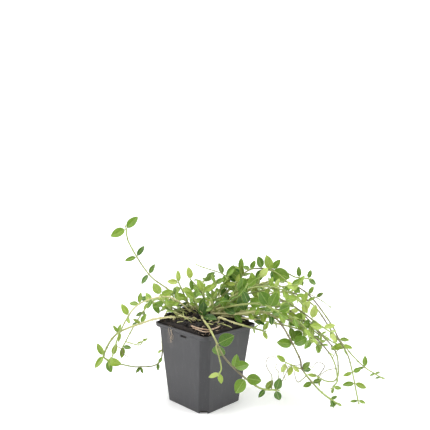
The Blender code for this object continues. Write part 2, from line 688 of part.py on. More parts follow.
def stem_rings(stem, marks):
    """Square cross-sections of a stem at distances along it, with no twist between them."""
    rings = []
    heading = stem.heading(marks[0])
    side = heading.orthogonal().normalized()
    for mark in marks:
        turned = stem.heading(mark)
        side = (side - turned * side.dot(turned)).normalized()
        other = turned.cross(side)
        centre = stem.at(mark)
        radius = stem.radius * (1 - 0.35 * mark / stem.length)
        rings.append([
            centre + (side * c + other * s) * radius for c, s in ((1, 0), (0, 1), (-1, 0), (0, -1))
        ])
    return rings


def pair_places(stem):
    """Distance of each pair along the stem, kept apart and inside the stem's length."""
    last = stem.length - NODE_HALF
    return [min(place * stem.length, last) for place, *_ in stem.pairs]


def bend_between(stem, a, b, pieces):
    """How far a stem leaves the straight lines that join evenly spaced points of a stretch."""
    worst = 0.0
    for k in range(pieces):
        low, high = (a + (b - a) * step / pieces for step in (k, k + 1))
        chord = (stem.at(low) + stem.at(high)) / 2
        worst = max(worst, (stem.at((low + high) / 2) - chord).length)
    return worst


def ring_marks(stem):
    """Where the stem's cross-sections go: both ends of each pair's stretch, and evenly between."""
    fixed = {0.0, stem.length}
    for place in pair_places(stem):
        fixed.add(place - NODE_HALF)
        fixed.add(min(place + NODE_HALF, stem.length))
    fixed = sorted(fixed)
    marks = []
    for a, b in zip(fixed, fixed[1:]):
        pieces = 1
        while pieces * STEM_STEP < b - a and (
            (b - a) / pieces > RING_SPACING or bend_between(stem, a, b, pieces) > RING_BEND
        ):
            pieces += 1
        marks += [a + (b - a) * k / pieces for k in range(pieces)]
    return [*marks, stem.length]


def drawn_attitude(bearing, luck):
    """A leaf whose bearing in the X-Z plane is given: its face looks out and up."""
    angle = math.radians(bearing)
    axis = Vector((math.cos(angle), luck.uniform(-0.35, 0.25), math.sin(angle)))
    return axis, Vector((luck.uniform(-0.3, 0.3), -0.9, luck.uniform(0.25, 0.8)))


def free_attitude(stem, place, side, roll, luck):
    """A leaf that spreads sideways from its stem, its face up and turned to the light."""
    heading = stem.heading(place)
    level = heading.cross(Vector((0.0, 0.0, 1.0)))
    if level.length < 0.2:
        level = heading.cross(Vector((0.0, 1.0, 0.0)))
    level.normalize()
    upper = level.cross(heading)
    spread = math.radians(luck.uniform(48, 72))
    across = level * math.cos(roll) + upper * math.sin(roll)
    axis = heading * math.cos(spread) + across * (side * math.sin(spread))
    front = -1.0 if stem.at(place).y < 50.0 else 1.0
    face = Vector((luck.uniform(-0.5, 0.5), front * luck.uniform(0.1, 1.0), luck.uniform(0.3, 1.0)))
    return axis, face


ATTITUDES = [
    (size, turn, tilt, roll)
    for size in (1.0, 0.85, 0.7, 0.55)
    for roll in (0, 40, -40)
    for tilt in (0, 25, -25, 50)
    for turn in (0, 20, -20, 40, -40)
]


def turned_leaf(base, axis, face, length, droop, fold, attitude):
    size, turn, tilt, roll = attitude
    first = Leaf(base, axis, face, length, droop, fold)
    spin = Matrix.Rotation(math.radians(turn), 3, first.face)
    lift = Matrix.Rotation(math.radians(tilt), 3, first.side)
    twist = Matrix.Rotation(math.radians(roll), 3, first.axis)
    whole = spin @ lift @ twist
    return Leaf(base, whole @ first.axis, whole @ first.face, length * size, droop, fold)


def clear_of_pot(leaf, soil):
    """Whether every part of the blade stays above the soil and ground and off the pot."""
    keep = GAP + LEAF_THICKNESS / 2
    for t in (0.3, 0.64, 0.86, 1.0):
        for across in (-1.0, 0.0, 1.0):
            spot = leaf.point(t, across)
            if spot.z < keep:
                return False
            if spot.z > POT_HEIGHT + MOUND_HEIGHT + 4:
                continue
            outside, _ = past_rim(spot.x, spot.y)
            if outside > keep:
                continue
            if outside > -(2 * WALL + LIP_WALL + keep) and spot.z < POT_HEIGHT + keep:
                return False
            ground = ground_at(soil, spot.x, spot.y)
            if ground is not None and spot.z < ground + keep + 0.4:
                return False
    return True


class Crowd:
    """Everything already grown, for finding a leaf a place of its own."""

    def __init__(self, stems, soil):
        self.soil = soil
        self.stems = []
        for stem in stems.values():
            rings = stem_rings(stem, ring_marks(stem))
            self.stems.append((stem, tree_of_rings(rings), stem.path.min(axis=0), stem.path.max(axis=0)))
        self.leaves = []

    def takes(self, leaf, stem):
        if not clear_of_pot(leaf, self.soil):
            return False
        whole = leaf_tree(leaf, 0.0, LEAF_THICKNESS + 2 * GAP, LEAF_ROOM)
        outer = leaf_tree(leaf, 0.22, LEAF_THICKNESS + 2 * GAP, LEAF_ROOM)
        if outer.overlap(self.soil):
            return False
        middle = leaf.point(0.5, 0.0)
        for other, tree, low, high in self.stems:
            if any(middle[i] < low[i] - leaf.length or middle[i] > high[i] + leaf.length for i in range(3)):
                continue
            if (outer if other is stem else whole).overlap(tree):
                return False
        for other, tree in self.leaves:
            if (other.point(0.5, 0.0) - middle).length > (other.length + leaf.length) * 0.62:
                continue
            same_pair = other.base == leaf.base
            if (outer if same_pair else whole).overlap(tree):
                return False
        return True

    def add(self, leaf):
        self.leaves.append((leaf, leaf_tree(leaf, 0.04, LEAF_THICKNESS, 0.0)))


def grow_leaves(stems, soil):
    """Give each pair its two leaves, in the first attitude that nothing else is in the way of."""
    crowd = Crowd(stems, soil)
    for stem in stems.values():
        luck = random.Random(stem.name)
        for place, (_, length, *bearings) in zip(pair_places(stem), stem.pairs):
            base = stem.at(place)
            roll = math.radians(luck.uniform(-55, 55))
            for k in range(2):
                if bearings:
                    axis, face = drawn_attitude(bearings[k], luck)
                else:
                    axis, face = free_attitude(stem, place, 1 - 2 * k, roll, luck)
                size = length * luck.uniform(0.94, 1.16)
                droop = luck.uniform(-0.05, 0.22)
                fold = luck.uniform(0.08, 0.3)
                for attitude in ATTITUDES:
                    leaf = turned_leaf(base, axis, face, size, droop, fold, attitude)
                    if crowd.takes(leaf, stem):
                        crowd.add(leaf)
                        leaf.place = place
                        stem.leaves.append(leaf)
                        break


# ---------------------------------------------------------------- runner meshes

def pull_matched(bm, face, corners):
    """Extrude a face onto a ring, matching their corners so that the sides don't twist."""
    made = bmesh.ops.extrude_discrete_faces(bm, faces=[face])["faces"][0]
    verts = list(made.verts)
    best = min(
        range(4),
        key=lambda k: sum((verts[i].co - corners[(i + k) % 4]).length_squared for i in range(4)),
    )
    for i, corner in enumerate(verts):
        corner.co = corners[(i + best) % 4]
    return made


def close_start(bm):
    """Close the opening that the first extrusion leaves where it started, and face all sides out."""
    bmesh.ops.holes_fill(bm, edges=[edge for edge in bm.edges if edge.is_boundary])
    bmesh.ops.recalc_face_normals(bm, faces=bm.faces)


def sides_of(face):
    return [other for edge in face.edges for other in edge.link_faces if other is not face]


def grow_blade(bm, face, leaf):
    for t in LEAF_SECTIONS:
        face = pull_matched(bm, face, leaf.ring(t, LEAF_THICKNESS))
    tip = bmesh.ops.extrude_discrete_faces(bm, faces=[face])["faces"][0]
    bmesh.ops.pointmerge(bm, verts=list(tip.verts), merge_co=leaf.point(1.0, 0.0))


def runner_mesh(stem):
    """A square-sectioned stem pulled ring by ring, its leaves pulled out of its sides."""
    bm = bmesh.new()
    marks = ring_marks(stem)
    rings = stem_rings(stem, marks)
    cap = bm.faces.new([bm.verts.new(corner) for corner in rings[0]])
    sides = {}
    for mark, ring in zip(marks[1:], rings[1:]):
        cap = bmesh.ops.extrude_discrete_faces(bm, faces=[cap])["faces"][0]
        for corner, place in zip(cap.verts, ring):
            corner.co = place
        sides[round(mark, 6)] = sides_of(cap)
    bm.normal_update()
    for leaf in stem.leaves:
        end = round(min(leaf.place + NODE_HALF, stem.length), 6)
        free = sides[end]
        face = max(free, key=lambda side: side.normal.dot(leaf.axis))
        free.remove(face)
        grow_blade(bm, face, leaf)
    close_start(bm)
    return bm


def shade_round(made):
    """Smooth shading, but for edges that turn by more than ROUND_UNDER."""
    made.data.shade_smooth()
    made.data.set_sharp_from_angle(angle=math.radians(ROUND_UNDER))
    return made


def make_runner(stem):
    look = material("leaf_" + stem.foliage, FOLIAGE_COLOURS[stem.foliage], 0.45)
    return shade_round(object_from(runner_mesh(stem), stem.name, look))


# ---------------------------------------------------------------- surface roots

def lay_roots(soil):
    """Roots and old stems that lie on the soil, following its lumps."""
    scale = RIM_SIDE / ROUTES_FIT_RIM
    laid = {}
    for name, (radius, route) in SURFACE_ROOTS.items():
        path = smooth_path([(x * scale, y * scale, 0.0) for x, y in route])
        for place in path:
            around = [(radius * c, radius * s) for c, s in ((0, 0), (1, 0), (-1, 0), (0, 1), (0, -1))]
            heights = [ground_at(soil, place[0] + dx, place[1] + dy) for dx, dy in around]
            place[2] = max(h for h in heights if h is not None) + radius + GAP
        laid[name] = Stem(name, radius, None, path, [])
        laid[name].measure()
    return laid


def make_root(stem):
    tan = material("root_tan", (0.42, 0.27, 0.17), 0.8)
    return shade_round(object_from(runner_mesh(stem), stem.name, tan))


# ---------------------------------------------------------------- assembly

def main():
    clear_scene()
    make_pot()
    plug = soil_plug()
    soil = tree_of(plug)
    object_from(plug, "root_ball", material("soil", (0.035, 0.026, 0.02), 0.95))
    roots = lay_roots(soil)
    stems = start_stems(soil)
    settle({**stems, **roots}, soil)
    grow_leaves({**stems, **roots}, soil)
    for stem in stems.values():
        make_runner(stem)
    for root in roots.values():
        make_root(root)


main()
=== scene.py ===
"""Looks of the potted periwinkle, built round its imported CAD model.

The plant is grown again by the CAD model's own rules, in millimetres, and each
runner is then dressed as fine stems, stalks, blades and buds in metres.
"""

import json
import math
import random

import bmesh
import bpy
import numpy as np
from mathutils import Matrix, Vector, noise
from mathutils.bvhtree import BVHTree
from mathutils.kdtree import KDTree

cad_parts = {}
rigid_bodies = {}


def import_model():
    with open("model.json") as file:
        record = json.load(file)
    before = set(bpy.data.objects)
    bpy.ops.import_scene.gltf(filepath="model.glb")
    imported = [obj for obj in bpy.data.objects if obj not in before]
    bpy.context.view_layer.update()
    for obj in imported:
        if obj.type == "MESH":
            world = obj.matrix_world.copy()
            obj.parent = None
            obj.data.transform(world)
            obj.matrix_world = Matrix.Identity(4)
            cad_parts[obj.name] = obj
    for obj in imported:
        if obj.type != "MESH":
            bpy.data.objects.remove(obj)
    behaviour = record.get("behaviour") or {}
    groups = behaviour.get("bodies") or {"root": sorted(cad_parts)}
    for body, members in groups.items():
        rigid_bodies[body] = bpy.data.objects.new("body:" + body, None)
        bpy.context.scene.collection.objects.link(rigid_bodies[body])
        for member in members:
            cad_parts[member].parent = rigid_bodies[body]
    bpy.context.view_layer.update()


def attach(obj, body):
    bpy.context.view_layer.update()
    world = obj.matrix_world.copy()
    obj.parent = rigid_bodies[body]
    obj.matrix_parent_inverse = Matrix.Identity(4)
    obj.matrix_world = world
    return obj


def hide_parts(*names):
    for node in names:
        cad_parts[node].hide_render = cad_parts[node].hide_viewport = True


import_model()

noise.seed_set(1)  # without a seed, noise_vector follows the clock

METRE = 0.001  # one millimetre, in the metres that Blender's meshes hold
GAP = 0.35  # air between two pieces that touch in the real plant

# The pot
RIM_SIDE = 90.0
POT_HEIGHT = 95.0
LIP_OVERHANG = 1.9  # how far the lip stands out past the body, on each side
SHOULDER_SIDE = RIM_SIDE - 2 * LIP_OVERHANG  # the body, just under the lip
FOOT_SIDE = 68.5
WALL = 1.0
LIP_WALL = 1.4
LIP_HEIGHT = 4.4
STEP_HEIGHT = 1.0  # slope between body and lip
BASE_THICKNESS = 1.2
CORNER_CUT = 8.5  # leg of the flat cut on each body corner
RIM_CORNER_RADIUS = 7.0
SLOT_SIZE = (10.0, 2.2)  # the label slot's width and height
SLOT_BELOW_RIM = 7.4
SLOT_TO_CORNER = 38.0  # from the front corner, along the wall
NOTCH_WIDTH = 8.5
NOTCH_HEIGHT = 3.2
NOTCH_DEPTH = 3.5
DRAIN_RADIUS = 4.0
DRAIN_OFFSET = 20.0

# The soil
SOIL_EDGE = -0.7  # height against the rim's top
MOUND_HEIGHT = 10.5
MOUND_CENTRE = (2.0, 8.0)
SOIL_CELLS = 14

# The plant
ROUTES_FIT_RIM = 90.0  # the routes below are drawn round a rim of this side
STEM_STEP = 2.0
STEM_ROOM = 1.1  # free space that a settled stem keeps round itself
SETTLE_ROUNDS = 90
RING_SPACING = 12.0
RING_BEND = 0.35  # furthest that a straight stretch of stem may leave its curve
NODE_HALF = 1.0  # half the stretch of stem that a pair of leaves grows from
LEAF_RATIO = 0.26  # half width over length, in a leaf of the usual length
USUAL_LEAF = 12.0
LEAF_BROADENING = 0.011  # what a millimetre of length adds to that ratio: big leaves are rounder
LEAF_THICKNESS = 0.55
LEAF_START = 0.1
LEAF_ROOM = 0.5  # free space that a blade keeps beyond its edges
LEAF_SECTIONS = (0.3, 0.64)

# name: (stem radius, foliage, root x and y, route as x, y and height above the rim,
#        leaf pairs as place along the stem, leaf length and, where the pair is turned
#        by its weight or the light, the two leaves' bearings in the X-Z plane)
RUNNERS = {
    "tall_left": (
        0.8, "mid", (-11, 8), [(-48, 2, 41), (-70, -2, 59), (-93, -4, 95), (-98, -2, 114)],
        [(0.14, 11), (0.27, 12), (0.56, 15, 60, 231), (0.74, 16, 60, 200), (1, 18, 207, 50)]),
    "left_straw": (
        1.1, "mid", (-38, -14),
        [(-60, -2, 4), (-73, 2, -1), (-108, 0, -16), (-123, -2, -41), (-118, -2, -49)],
        [(0.42, 12, 150, 30), (0.66, 12, 120, 50), (0.93, 16, 115, 235), (1, 16, 350, 285)]),
    "left_arch": (
        0.8, "dark", (-16, 16),
        [(-31, 18, 19), (-50, 18, 24), (-68, 18, 20), (-87, 18, -6), (-103, 14, -37)],
        [(0.17, 11), (0.29, 10), (0.45, 16, 165, 300), (0.6, 11), (0.72, 10), (1, 13, 20, 265)]),
    "left_loop": (
        0.8, "mid", (-19, -4),
        [(-35, -10, 29), (-52, -14, 34), (-82, -16, 23), (-101, -16, -8), (-111, -12, -40)],
        [(0.16, 12), (0.28, 12), (0.39, 12), (0.5, 14, 85, 200), (0.63, 14, 100, 250), (0.78, 12),
         (1, 13, 75, 250)]),
    "left_back_drop": (
        0.8, "dark", (-20, 30),
        [(-37, 36, 15), (-51, 44, 1), (-57, 46, -21), (-58, 40, -63), (-85, 28, -67), (-116, 18, -58)],
        [(0.12, 13), (0.55, 9), (0.65, 10, 265, 60), (0.79, 9, 290, 190), (1, 12)]),
    "front_runner": (
        0.9, "dark", (-3, -8),
        [(-2, -22, 9), (9, -60, 1), (23, -68, -22), (58, -62, -54), (81, -60, -59)],
        [(0.09, 19, 85, 335), (0.44, 21, 30, 255), (0.64, 16, 98, 12), (0.75, 17, 240, 330),
         (0.92, 12, 50, 200), (1, 14, 75, 290)]),
    "right_top": (
        0.9, "dark", (8, 14),
        [(38, 26, 44), (50, 30, 58), (66, 30, 63), (97, 26, 60), (113, 22, 54), (129, 18, 53)],
        [(0.26, 14), (0.41, 14, 95, 140), (0.5, 12, 65, 200), (0.6, 16, 110, 250),
         (0.68, 16, 50, 310), (0.92, 14, 95, 300), (1, 12, 75, 325)]),
    "right_crest": (
        0.8, "mid", (10, 4), [(45, -4, 41), (79, -10, 47), (108, -14, 37), (116, -14, 28)],
        [(0.37, 14), (0.51, 13), (0.64, 13, 70, 250), (0.78, 13), (0.9, 14), (1, 14, 70, 300)]),
    "right_long": (
        0.8, "dark", (13, 24),
        [(73, 42, 41), (101, 42, 45), (133, 34, 29), (161, 22, -7), (170, 16, -24), (194, 4, -50),
         (217, -4, -64)],
        [(0.14, 16), (0.26, 14), (0.37, 13), (0.45, 12), (0.52, 12, 40, 220), (0.76, 12, 130, 320),
         (0.92, 12, 88, 200), (0.97, 8, 170, 350), (1, 8, 150, 340)]),
    "right_fall": (
        0.8, "mid", (10, 10),
        [(38, 12, 22), (97, 12, 37), (132, 10, 23), (157, 6, -10), (176, -2, -38), (187, -14, -90)],
        [(0.12, 16), (0.25, 15), (0.35, 14), (0.44, 12), (0.66, 10), (0.74, 13, 200, 345),
         (0.87, 12, 200, 20), (0.92, 15, 180, 345), (1, 9, 215, 330)]),
    "right_drop_a": (
        0.8, "mid", (13, -2),
        [(68, -8, 15), (113, -14, 3), (149, -20, -30), (158, -24, -58), (153, -24, -69)],
        [(0.29, 14), (0.43, 15), (0.54, 14), (0.63, 11), (0.72, 9), (0.78, 8), (1, 11, 265, 300)]),
    "right_drop_b": (
        0.8, "light", (15, 6),
        [(48, 6, 17), (79, 4, 21), (106, 2, 14), (155, -4, -25), (163, -8, -53), (159, -10, -66),
         (148, -10, -67), (136, -12, -60)],
        [(0.16, 16), (0.29, 16), (0.42, 16), (0.52, 13), (0.62, 9), (0.7, 8), (1, 11, 170, 300)]),
    "right_low": (
        1.0, "dark", (10, -12),
        [(36, -18, 16), (62, -24, 21), (78, -28, 17), (91, -32, 4), (110, -34, -30), (115, -32, -46),
         (137, -28, -72), (159, -24, -89)],
        [(0.14, 14), (0.26, 16), (0.35, 13), (0.55, 19, 170, 25), (0.7, 12, 50, 330),
         (0.8, 11, 20, 200), (0.95, 9, 290, 30), (1, 8, 315, 200)]),
    "over_rim_1": (
        1.0, "mid", (16, -22), [(31, -26, 8), (69, -22, -3)],
        [(0.79, 8), (1, 12, 60, 300)]),
    "over_rim_2": (
        0.9, "mid", (15, -6), [(62, 2, 8), (104, 4, 3), (141, 0, -24)],
        [(0.36, 14), (0.51, 14), (0.67, 16), (0.79, 14), (0.91, 12), (1, 12)]),
    "over_rim_3": (
        0.9, "dark", (22, -16), [(68, -10, 6), (118, -12, -5), (135, -16, -21)],
        [(0.36, 13), (0.54, 14), (0.69, 14), (0.81, 18, 200, 20), (0.91, 13), (1, 10)]),
    "right_leafy_1": (
        1.0, "dark", (8, -6), [(24, -14, 23), (61, -28, 31), (85, -34, 23)],
        [(0.24, 15), (0.58, 17, 15, 110), (0.87, 20, 162, 66), (1, 14, 30, 330)]),
    "right_leafy_2": (
        0.9, "light", (10, 16),
        [(40, 14, 23), (69, 8, 30), (97, 0, 28), (140, -12, 1), (153, -12, -7)],
        [(0.24, 13), (0.4, 15), (0.58, 18), (0.73, 16, 55, 200), (0.82, 18, 75, 300),
         (0.92, 16, 10, 180), (1, 12)]),
    "right_leafy_3": (
        0.8, "mid", (16, 24),
        [(44, 30, 14), (76, 32, 22), (105, 30, 19), (123, 28, 7), (152, 18, -21), (175, 10, -32)],
        [(0.17, 14), (0.35, 15), (0.51, 16), (0.63, 15), (0.74, 13), (0.85, 13),
         (0.94, 15, 110, 335), (1, 10)]),
    "right_leafy_4": (
        0.9, "light", (18, 4), [(60, 0, 13), (90, 10, 15), (118, 6, 4), (140, -6, -12)],
        [(0.4, 14), (0.55, 16), (0.68, 16), (0.8, 15), (0.9, 13), (1, 12)]),
    "right_leafy_5": (
        0.9, "mid", (20, -10), [(56, -16, 16), (88, -22, 19), (114, -24, 6), (124, -26, -12)],
        [(0.3, 13), (0.45, 15), (0.6, 17), (0.74, 16), (0.88, 14), (1, 13)]),
    "crest_1": (
        0.9, "dark", (5, 2), [(34, 4, 47), (46, 4, 53)],
        [(0.42, 14), (0.77, 18, 200, 330), (1, 17, 190, 300)]),
    "crest_2": (
        0.6, "dark", (13, 12), [(27, 12, 52), (-10, 0, 70)],
        [(0.28, 14), (0.49, 17, 110, 30), (0.61, 15, 130, 340)]),
    "crest_3": (
        0.8, "dark", (13, -4), [(42, -18, 40), (48, -18, 50)],
        [(0.45, 13), (0.78, 19, 265, 60), (1, 15, 40, 200)]),
    "crest_4": (
        0.8, "light", (18, 8), [(59, 2, 46), (65, 0, 57)],
        [(0.46, 14), (0.8, 15, 290, 100), (1, 15, 50, 250)]),
    "crest_5": (
        0.8, "mid", (10, 20), [(38, 38, 46), (45, 40, 59)],
        [(0.41, 14), (0.76, 14), (1, 14, 90, 130)]),
    "crest_6": (
        0.8, "light", (13, 10), [(39, 2, 32), (83, -8, 46), (111, -12, 51)],
        [(0.55, 13), (0.74, 14), (0.88, 14), (1, 13, 60, 200)]),
    "crest_7": (
        0.8, "mid", (11, 18), [(65, 22, 52), (82, 20, 62), (107, 12, 45)],
        [(0.34, 15), (0.57, 15), (0.75, 22, 320, 110), (1, 13, 40, 300)]),
    "crest_8": (
        0.8, "mid", (6, 10), [(18, 6, 40), (26, 2, 56)],
        [(0.35, 12), (0.58, 14), (0.8, 15), (1, 14)]),
    "shoot_1": (
        0.8, "mid", (-3, -12), [(-9, -14, 21), (-13, -14, 33)],
        [(0.52, 16, 100, 60), (1, 14, 80, 150)]),
    "shoot_2": (
        0.9, "mid", (-33, -12), [(-48, -18, 27), (-54, -18, 38)],
        [(0.36, 10), (0.69, 13, 180, 30), (1, 15, 20, 120)]),
    "shoot_3": (
        0.8, "light", (-26, 2), [(-35, 0, 22), (-41, -2, 34)],
        [(0.55, 11), (1, 17, 190, 350)]),
    "shoot_4": (
        0.8, "light", (-18, 6), [(-24, 6, 26), (-34, 2, 49)],
        [(0.4, 10), (0.79, 14, 300, 200), (1, 14, 95, 170)]),
    "shoot_5": (
        0.7, "mid", (0, 8), [(-6, 10, 35), (-20, 8, 52)],
        [(0.54, 12), (1, 14, 100, 300)]),
    "shoot_6": (
        0.8, "light", (2, -2), [(-1, -4, 27), (-3, -6, 41)],
        [(0.56, 13, 200, 20), (1, 14, 120, 50)]),
    "shoot_7": (
        0.8, "mid", (8, 6), [(7, 2, 39), (11, 0, 49)],
        [(0.37, 13), (0.72, 13, 170, 40), (1, 13, 110, 30)]),
    "shoot_8": (
        1.1, "dark", (13, -12), [(9, -16, 23), (6, -18, 33)],
        [(0.59, 12), (1, 12, 120, 60)]),
    "shoot_9": (
        0.8, "mid", (22, 0), [(32, 0, 26), (37, -4, 50)],
        [(0.4, 13), (0.75, 16, 110, 300), (1, 13, 80, 160)]),
    "shoot_10": (
        0.8, "mid", (-24, -8), [(-40, -10, 20), (-58, -8, 30)],
        [(0.3, 11), (0.55, 13), (0.8, 14), (1, 13)]),
    "shoot_11": (
        0.8, "light", (-30, 4), [(-44, 2, 14), (-60, 0, 22), (-70, -2, 24)],
        [(0.3, 11), (0.5, 12), (0.75, 13), (1, 12)]),
    "shoot_12": (
        0.9, "dark", (16, -6), [(22, -12, 20), (28, -16, 32)],
        [(0.5, 15), (1, 16)]),
    "shoot_13": (
        0.8, "mid", (-8, -2), [(-14, -4, 26), (-16, -6, 36)],
        [(0.5, 13), (1, 14)]),
    "back_fall_1": (
        0.9, "mid", (4, 20),
        [(6, 42, 14), (8, 64, 16), (10, 84, 2), (10, 96, -24), (8, 102, -52), (2, 106, -78)],
        [(0.3, 16), (0.5, 17), (0.68, 16), (0.84, 14), (1, 12)]),
    "back_fall_2": (
        0.9, "dark", (-8, 22),
        [(-16, 44, 10), (-24, 64, 8), (-30, 80, -8), (-34, 88, -34), (-34, 92, -62)],
        [(0.3, 15), (0.55, 16), (0.78, 14), (1, 12)]),
    "back_fall_3": (
        0.9, "mid", (16, 22),
        [(24, 44, 20), (32, 66, 22), (38, 86, 6), (42, 98, -22), (40, 106, -54), (34, 110, -84)],
        [(0.25, 16), (0.42, 17), (0.6, 16), (0.8, 15), (1, 12)]),
    "back_right_1": (
        0.9, "dark", (24, 18), [(46, 42, 26), (70, 60, 32), (94, 72, 22), (112, 78, 2)],
        [(0.35, 16), (0.55, 17), (0.78, 16), (1, 14)]),
    "back_right_2": (
        0.9, "mid", (28, 12), [(56, 34, 34), (86, 50, 40), (112, 58, 28), (130, 60, 10)],
        [(0.35, 16), (0.58, 17), (0.8, 15), (1, 13)]),
    "back_crest_1": (
        0.8, "mid", (0, 22), [(-4, 38, 26), (-4, 50, 40), (0, 60, 44)],
        [(0.5, 16), (0.8, 16), (1, 14)]),
    "back_crest_2": (
        0.8, "dark", (12, 24), [(22, 44, 34), (35, 60, 46), (47, 70, 45)],
        [(0.5, 17), (0.73, 15), (1, 14)]),
}

# name: (stem radius, foliage, the runner it leaves, how far along that runner, route, leaf pairs)
SIDE_SHOOTS = {
    "left_side_shoot": (
        0.6, "light", "left_arch", 0.93, [(-81, 2, -30), (-76, 0, -24)], [(1, 8, 35, 200)]),
    "front_spur": (
        0.7, "light", "front_runner", 0.45, [(18, -74, -28), (16, -74, -36)], [(1, 12, 205, 280)]),
    "right_bare_tip": (
        0.5, "dark", "right_long", 0.52, [(149, 26, 23), (156, 22, 18)], [(0.33, 11, 35, 200)]),
    "right_low_spur": (
        0.7, "light", "right_low", 0.69, [(104, -36, -40), (93, -40, -34)],
        [(0.55, 11, 250, 300), (1, 12, 145, 290)]),
}

# name: (radius, route of a root or old stem that lies on the soil, as x and y)
SURFACE_ROOTS = {
    "surface_root_1": (0.9, [(-17, -35), (-9, -42), (1, -46), (10, -43), (17, -37)]),
    "surface_root_2": (0.7, [(-14, -40), (-7, -46), (1, -50), (8, -47)]),
    "surface_root_3": (0.9, [(-46, 2), (-34, -5), (-22, -12), (-10, -18)]),
    "surface_root_4": (0.6, [(-30, 14), (-24, 4), (-14, -2)]),
}


# ---------------------------------------------------------------- growth, as in the CAD model

TURN = Matrix.Rotation(math.radians(45.0), 3, "Z")


def four_corners(one_corner):
    """The outline of a square from the points of its +X +Y corner, turned corner forward."""
    return [
        TURN @ Matrix.Rotation(math.radians(90.0 * quarter), 3, "Z") @ Vector((x, y, 0.0))
        for quarter in range(4)
        for x, y in one_corner
    ]


def body_side(height):
    """Outer side of the tapered body at a height."""
    shoulder = POT_HEIGHT - LIP_HEIGHT - STEP_HEIGHT
    return FOOT_SIDE + (SHOULDER_SIDE - FOOT_SIDE) * height / shoulder


def inner_side(height):
    return body_side(height) - 2 * WALL - 2 * GAP


def soil_height(x, y):
    """Height of the mounded soil, with its lumps."""
    reach = (abs(x + y) + abs(x - y)) / 2 / (RIM_SIDE / 2) / math.sqrt(2)
    off_centre = math.hypot(x - MOUND_CENTRE[0], y - MOUND_CENTRE[1]) / (RIM_SIDE / 2)
    rise = max(0.0, 1 - reach ** 2) * max(0.0, 1 - 0.35 * off_centre ** 2)
    lumps = 0.7 * math.sin(0.33 * x + 1.1) * math.cos(0.29 * y + 0.6)
    lumps += 0.5 * math.sin(0.61 * x - 0.47 * y) + 0.3 * math.cos(0.9 * y + 0.7 * x)
    return POT_HEIGHT + SOIL_EDGE + (MOUND_HEIGHT - SOIL_EDGE) * rise ** 0.8 + lumps * rise ** 0.5


def plug_place(unit, side):
    """A point of the square from -1 to 1, in the plug's cut-cornered outline of a given side."""
    half = side / 2
    x, y = unit.x * half, unit.y * half
    over = abs(x) + abs(y) - (side - CORNER_CUT)
    if over > 0:
        x -= math.copysign(over / 2, x)
        y -= math.copysign(over / 2, y)
    return TURN @ Vector((x, y, 0.0))


def soil_plug():
    """A gridded top, pulled down into a tapered plug."""
    bm = bmesh.new()
    bmesh.ops.create_grid(bm, x_segments=SOIL_CELLS, y_segments=SOIL_CELLS, size=1.0)
    pulled = bmesh.ops.extrude_face_region(bm, geom=list(bm.faces), use_keep_orig=True)["geom"]
    sunk = {piece for piece in pulled if isinstance(piece, bmesh.types.BMVert)}
    under = [piece for piece in pulled if isinstance(piece, bmesh.types.BMFace)]
    base = BASE_THICKNESS + GAP
    edge_side = inner_side(POT_HEIGHT + SOIL_EDGE)
    for corner in bm.verts:
        if corner in sunk:
            place = plug_place(corner.co, inner_side(base))
            corner.co = (place.x, place.y, base)
        else:
            place = plug_place(corner.co, edge_side)
            corner.co = (place.x, place.y, soil_height(place.x, place.y))
    bmesh.ops.dissolve_faces(bm, faces=under)
    bmesh.ops.recalc_face_normals(bm, faces=bm.faces)
    return bm


def tree_of(bm):
    return BVHTree.FromBMesh(bm)


class Stem:
    """A stem's centre line, its radius, and the leaf pairs that it carries."""

    def __init__(self, name, radius, foliage, path, pairs):
        self.name = name
        self.radius = radius
        self.foliage = foliage
        self.path = path
        self.pairs = pairs
        self.leaves = []
        self.parent = None

    def measure(self):
        steps = np.linalg.norm(np.diff(self.path, axis=0), axis=1)
        self.along = np.concatenate([[0.0], np.cumsum(steps)])
        self.length = self.along[-1]

    def at(self, distance):
        return Vector([np.interp(distance, self.along, self.path[:, i]) for i in range(3)])

    def heading(self, distance):
        before = self.at(max(distance - STEM_STEP, 0.0))
        after = self.at(min(distance + STEM_STEP, self.length))
        return (after - before).normalized()


def curve_through(points, samples, step, fewest):
    """A Catmull-Rom curve through the points, read at even steps."""
    points = np.array(points, float)
    ends = np.vstack([2 * points[0] - points[1], points, 2 * points[-1] - points[-2]])
    dense = []
    for a, b, c, d in zip(ends, ends[1:], ends[2:], ends[3:]):
        t = np.linspace(0.0, 1.0, samples, endpoint=False)[:, None]
        curve = 2 * b + (c - a) * t + (2 * a - 5 * b + 4 * c - d) * t ** 2
        dense.append(0.5 * (curve + (3 * b - a - 3 * c + d) * t ** 3))
    dense = np.vstack([*dense, points[-1:]])
    along = np.concatenate([[0.0], np.cumsum(np.linalg.norm(np.diff(dense, axis=0), axis=1))])
    marks = np.linspace(0.0, along[-1], max(fewest, round(along[-1] / step)) + 1)
    return np.column_stack([np.interp(marks, along, dense[:, i]) for i in range(3)])


def smooth_path(points):
    """A stem's centre line, as the model has it."""
    return curve_through(points, 24, STEM_STEP, 4)


def fine_path(points, step):
    """The same kind of line, read finely enough to be drawn."""
    return [Vector(place) for place in curve_through(points, 8, step, 3)]


def ground_at(soil, x, y):
    """Height of the soil under a point, or None beyond its edge."""
    hit = soil.ray_cast(Vector((x, y, 3 * POT_HEIGHT)), Vector((0.0, 0.0, -1.0)))[0]
    return None if hit is None else hit.z


def past_rim(x, y):
    """Distance outside the rim's outline, negative inside, and the way out."""
    across = (x + y) / math.sqrt(2)
    along = (y - x) / math.sqrt(2)
    half = RIM_SIDE / 2
    if abs(across) > abs(along):
        way = math.copysign(1 / math.sqrt(2), across)
        return abs(across) - half, Vector((way, way, 0.0))
    way = math.copysign(1 / math.sqrt(2), along)
    return abs(along) - half, Vector((-way, way, 0.0))


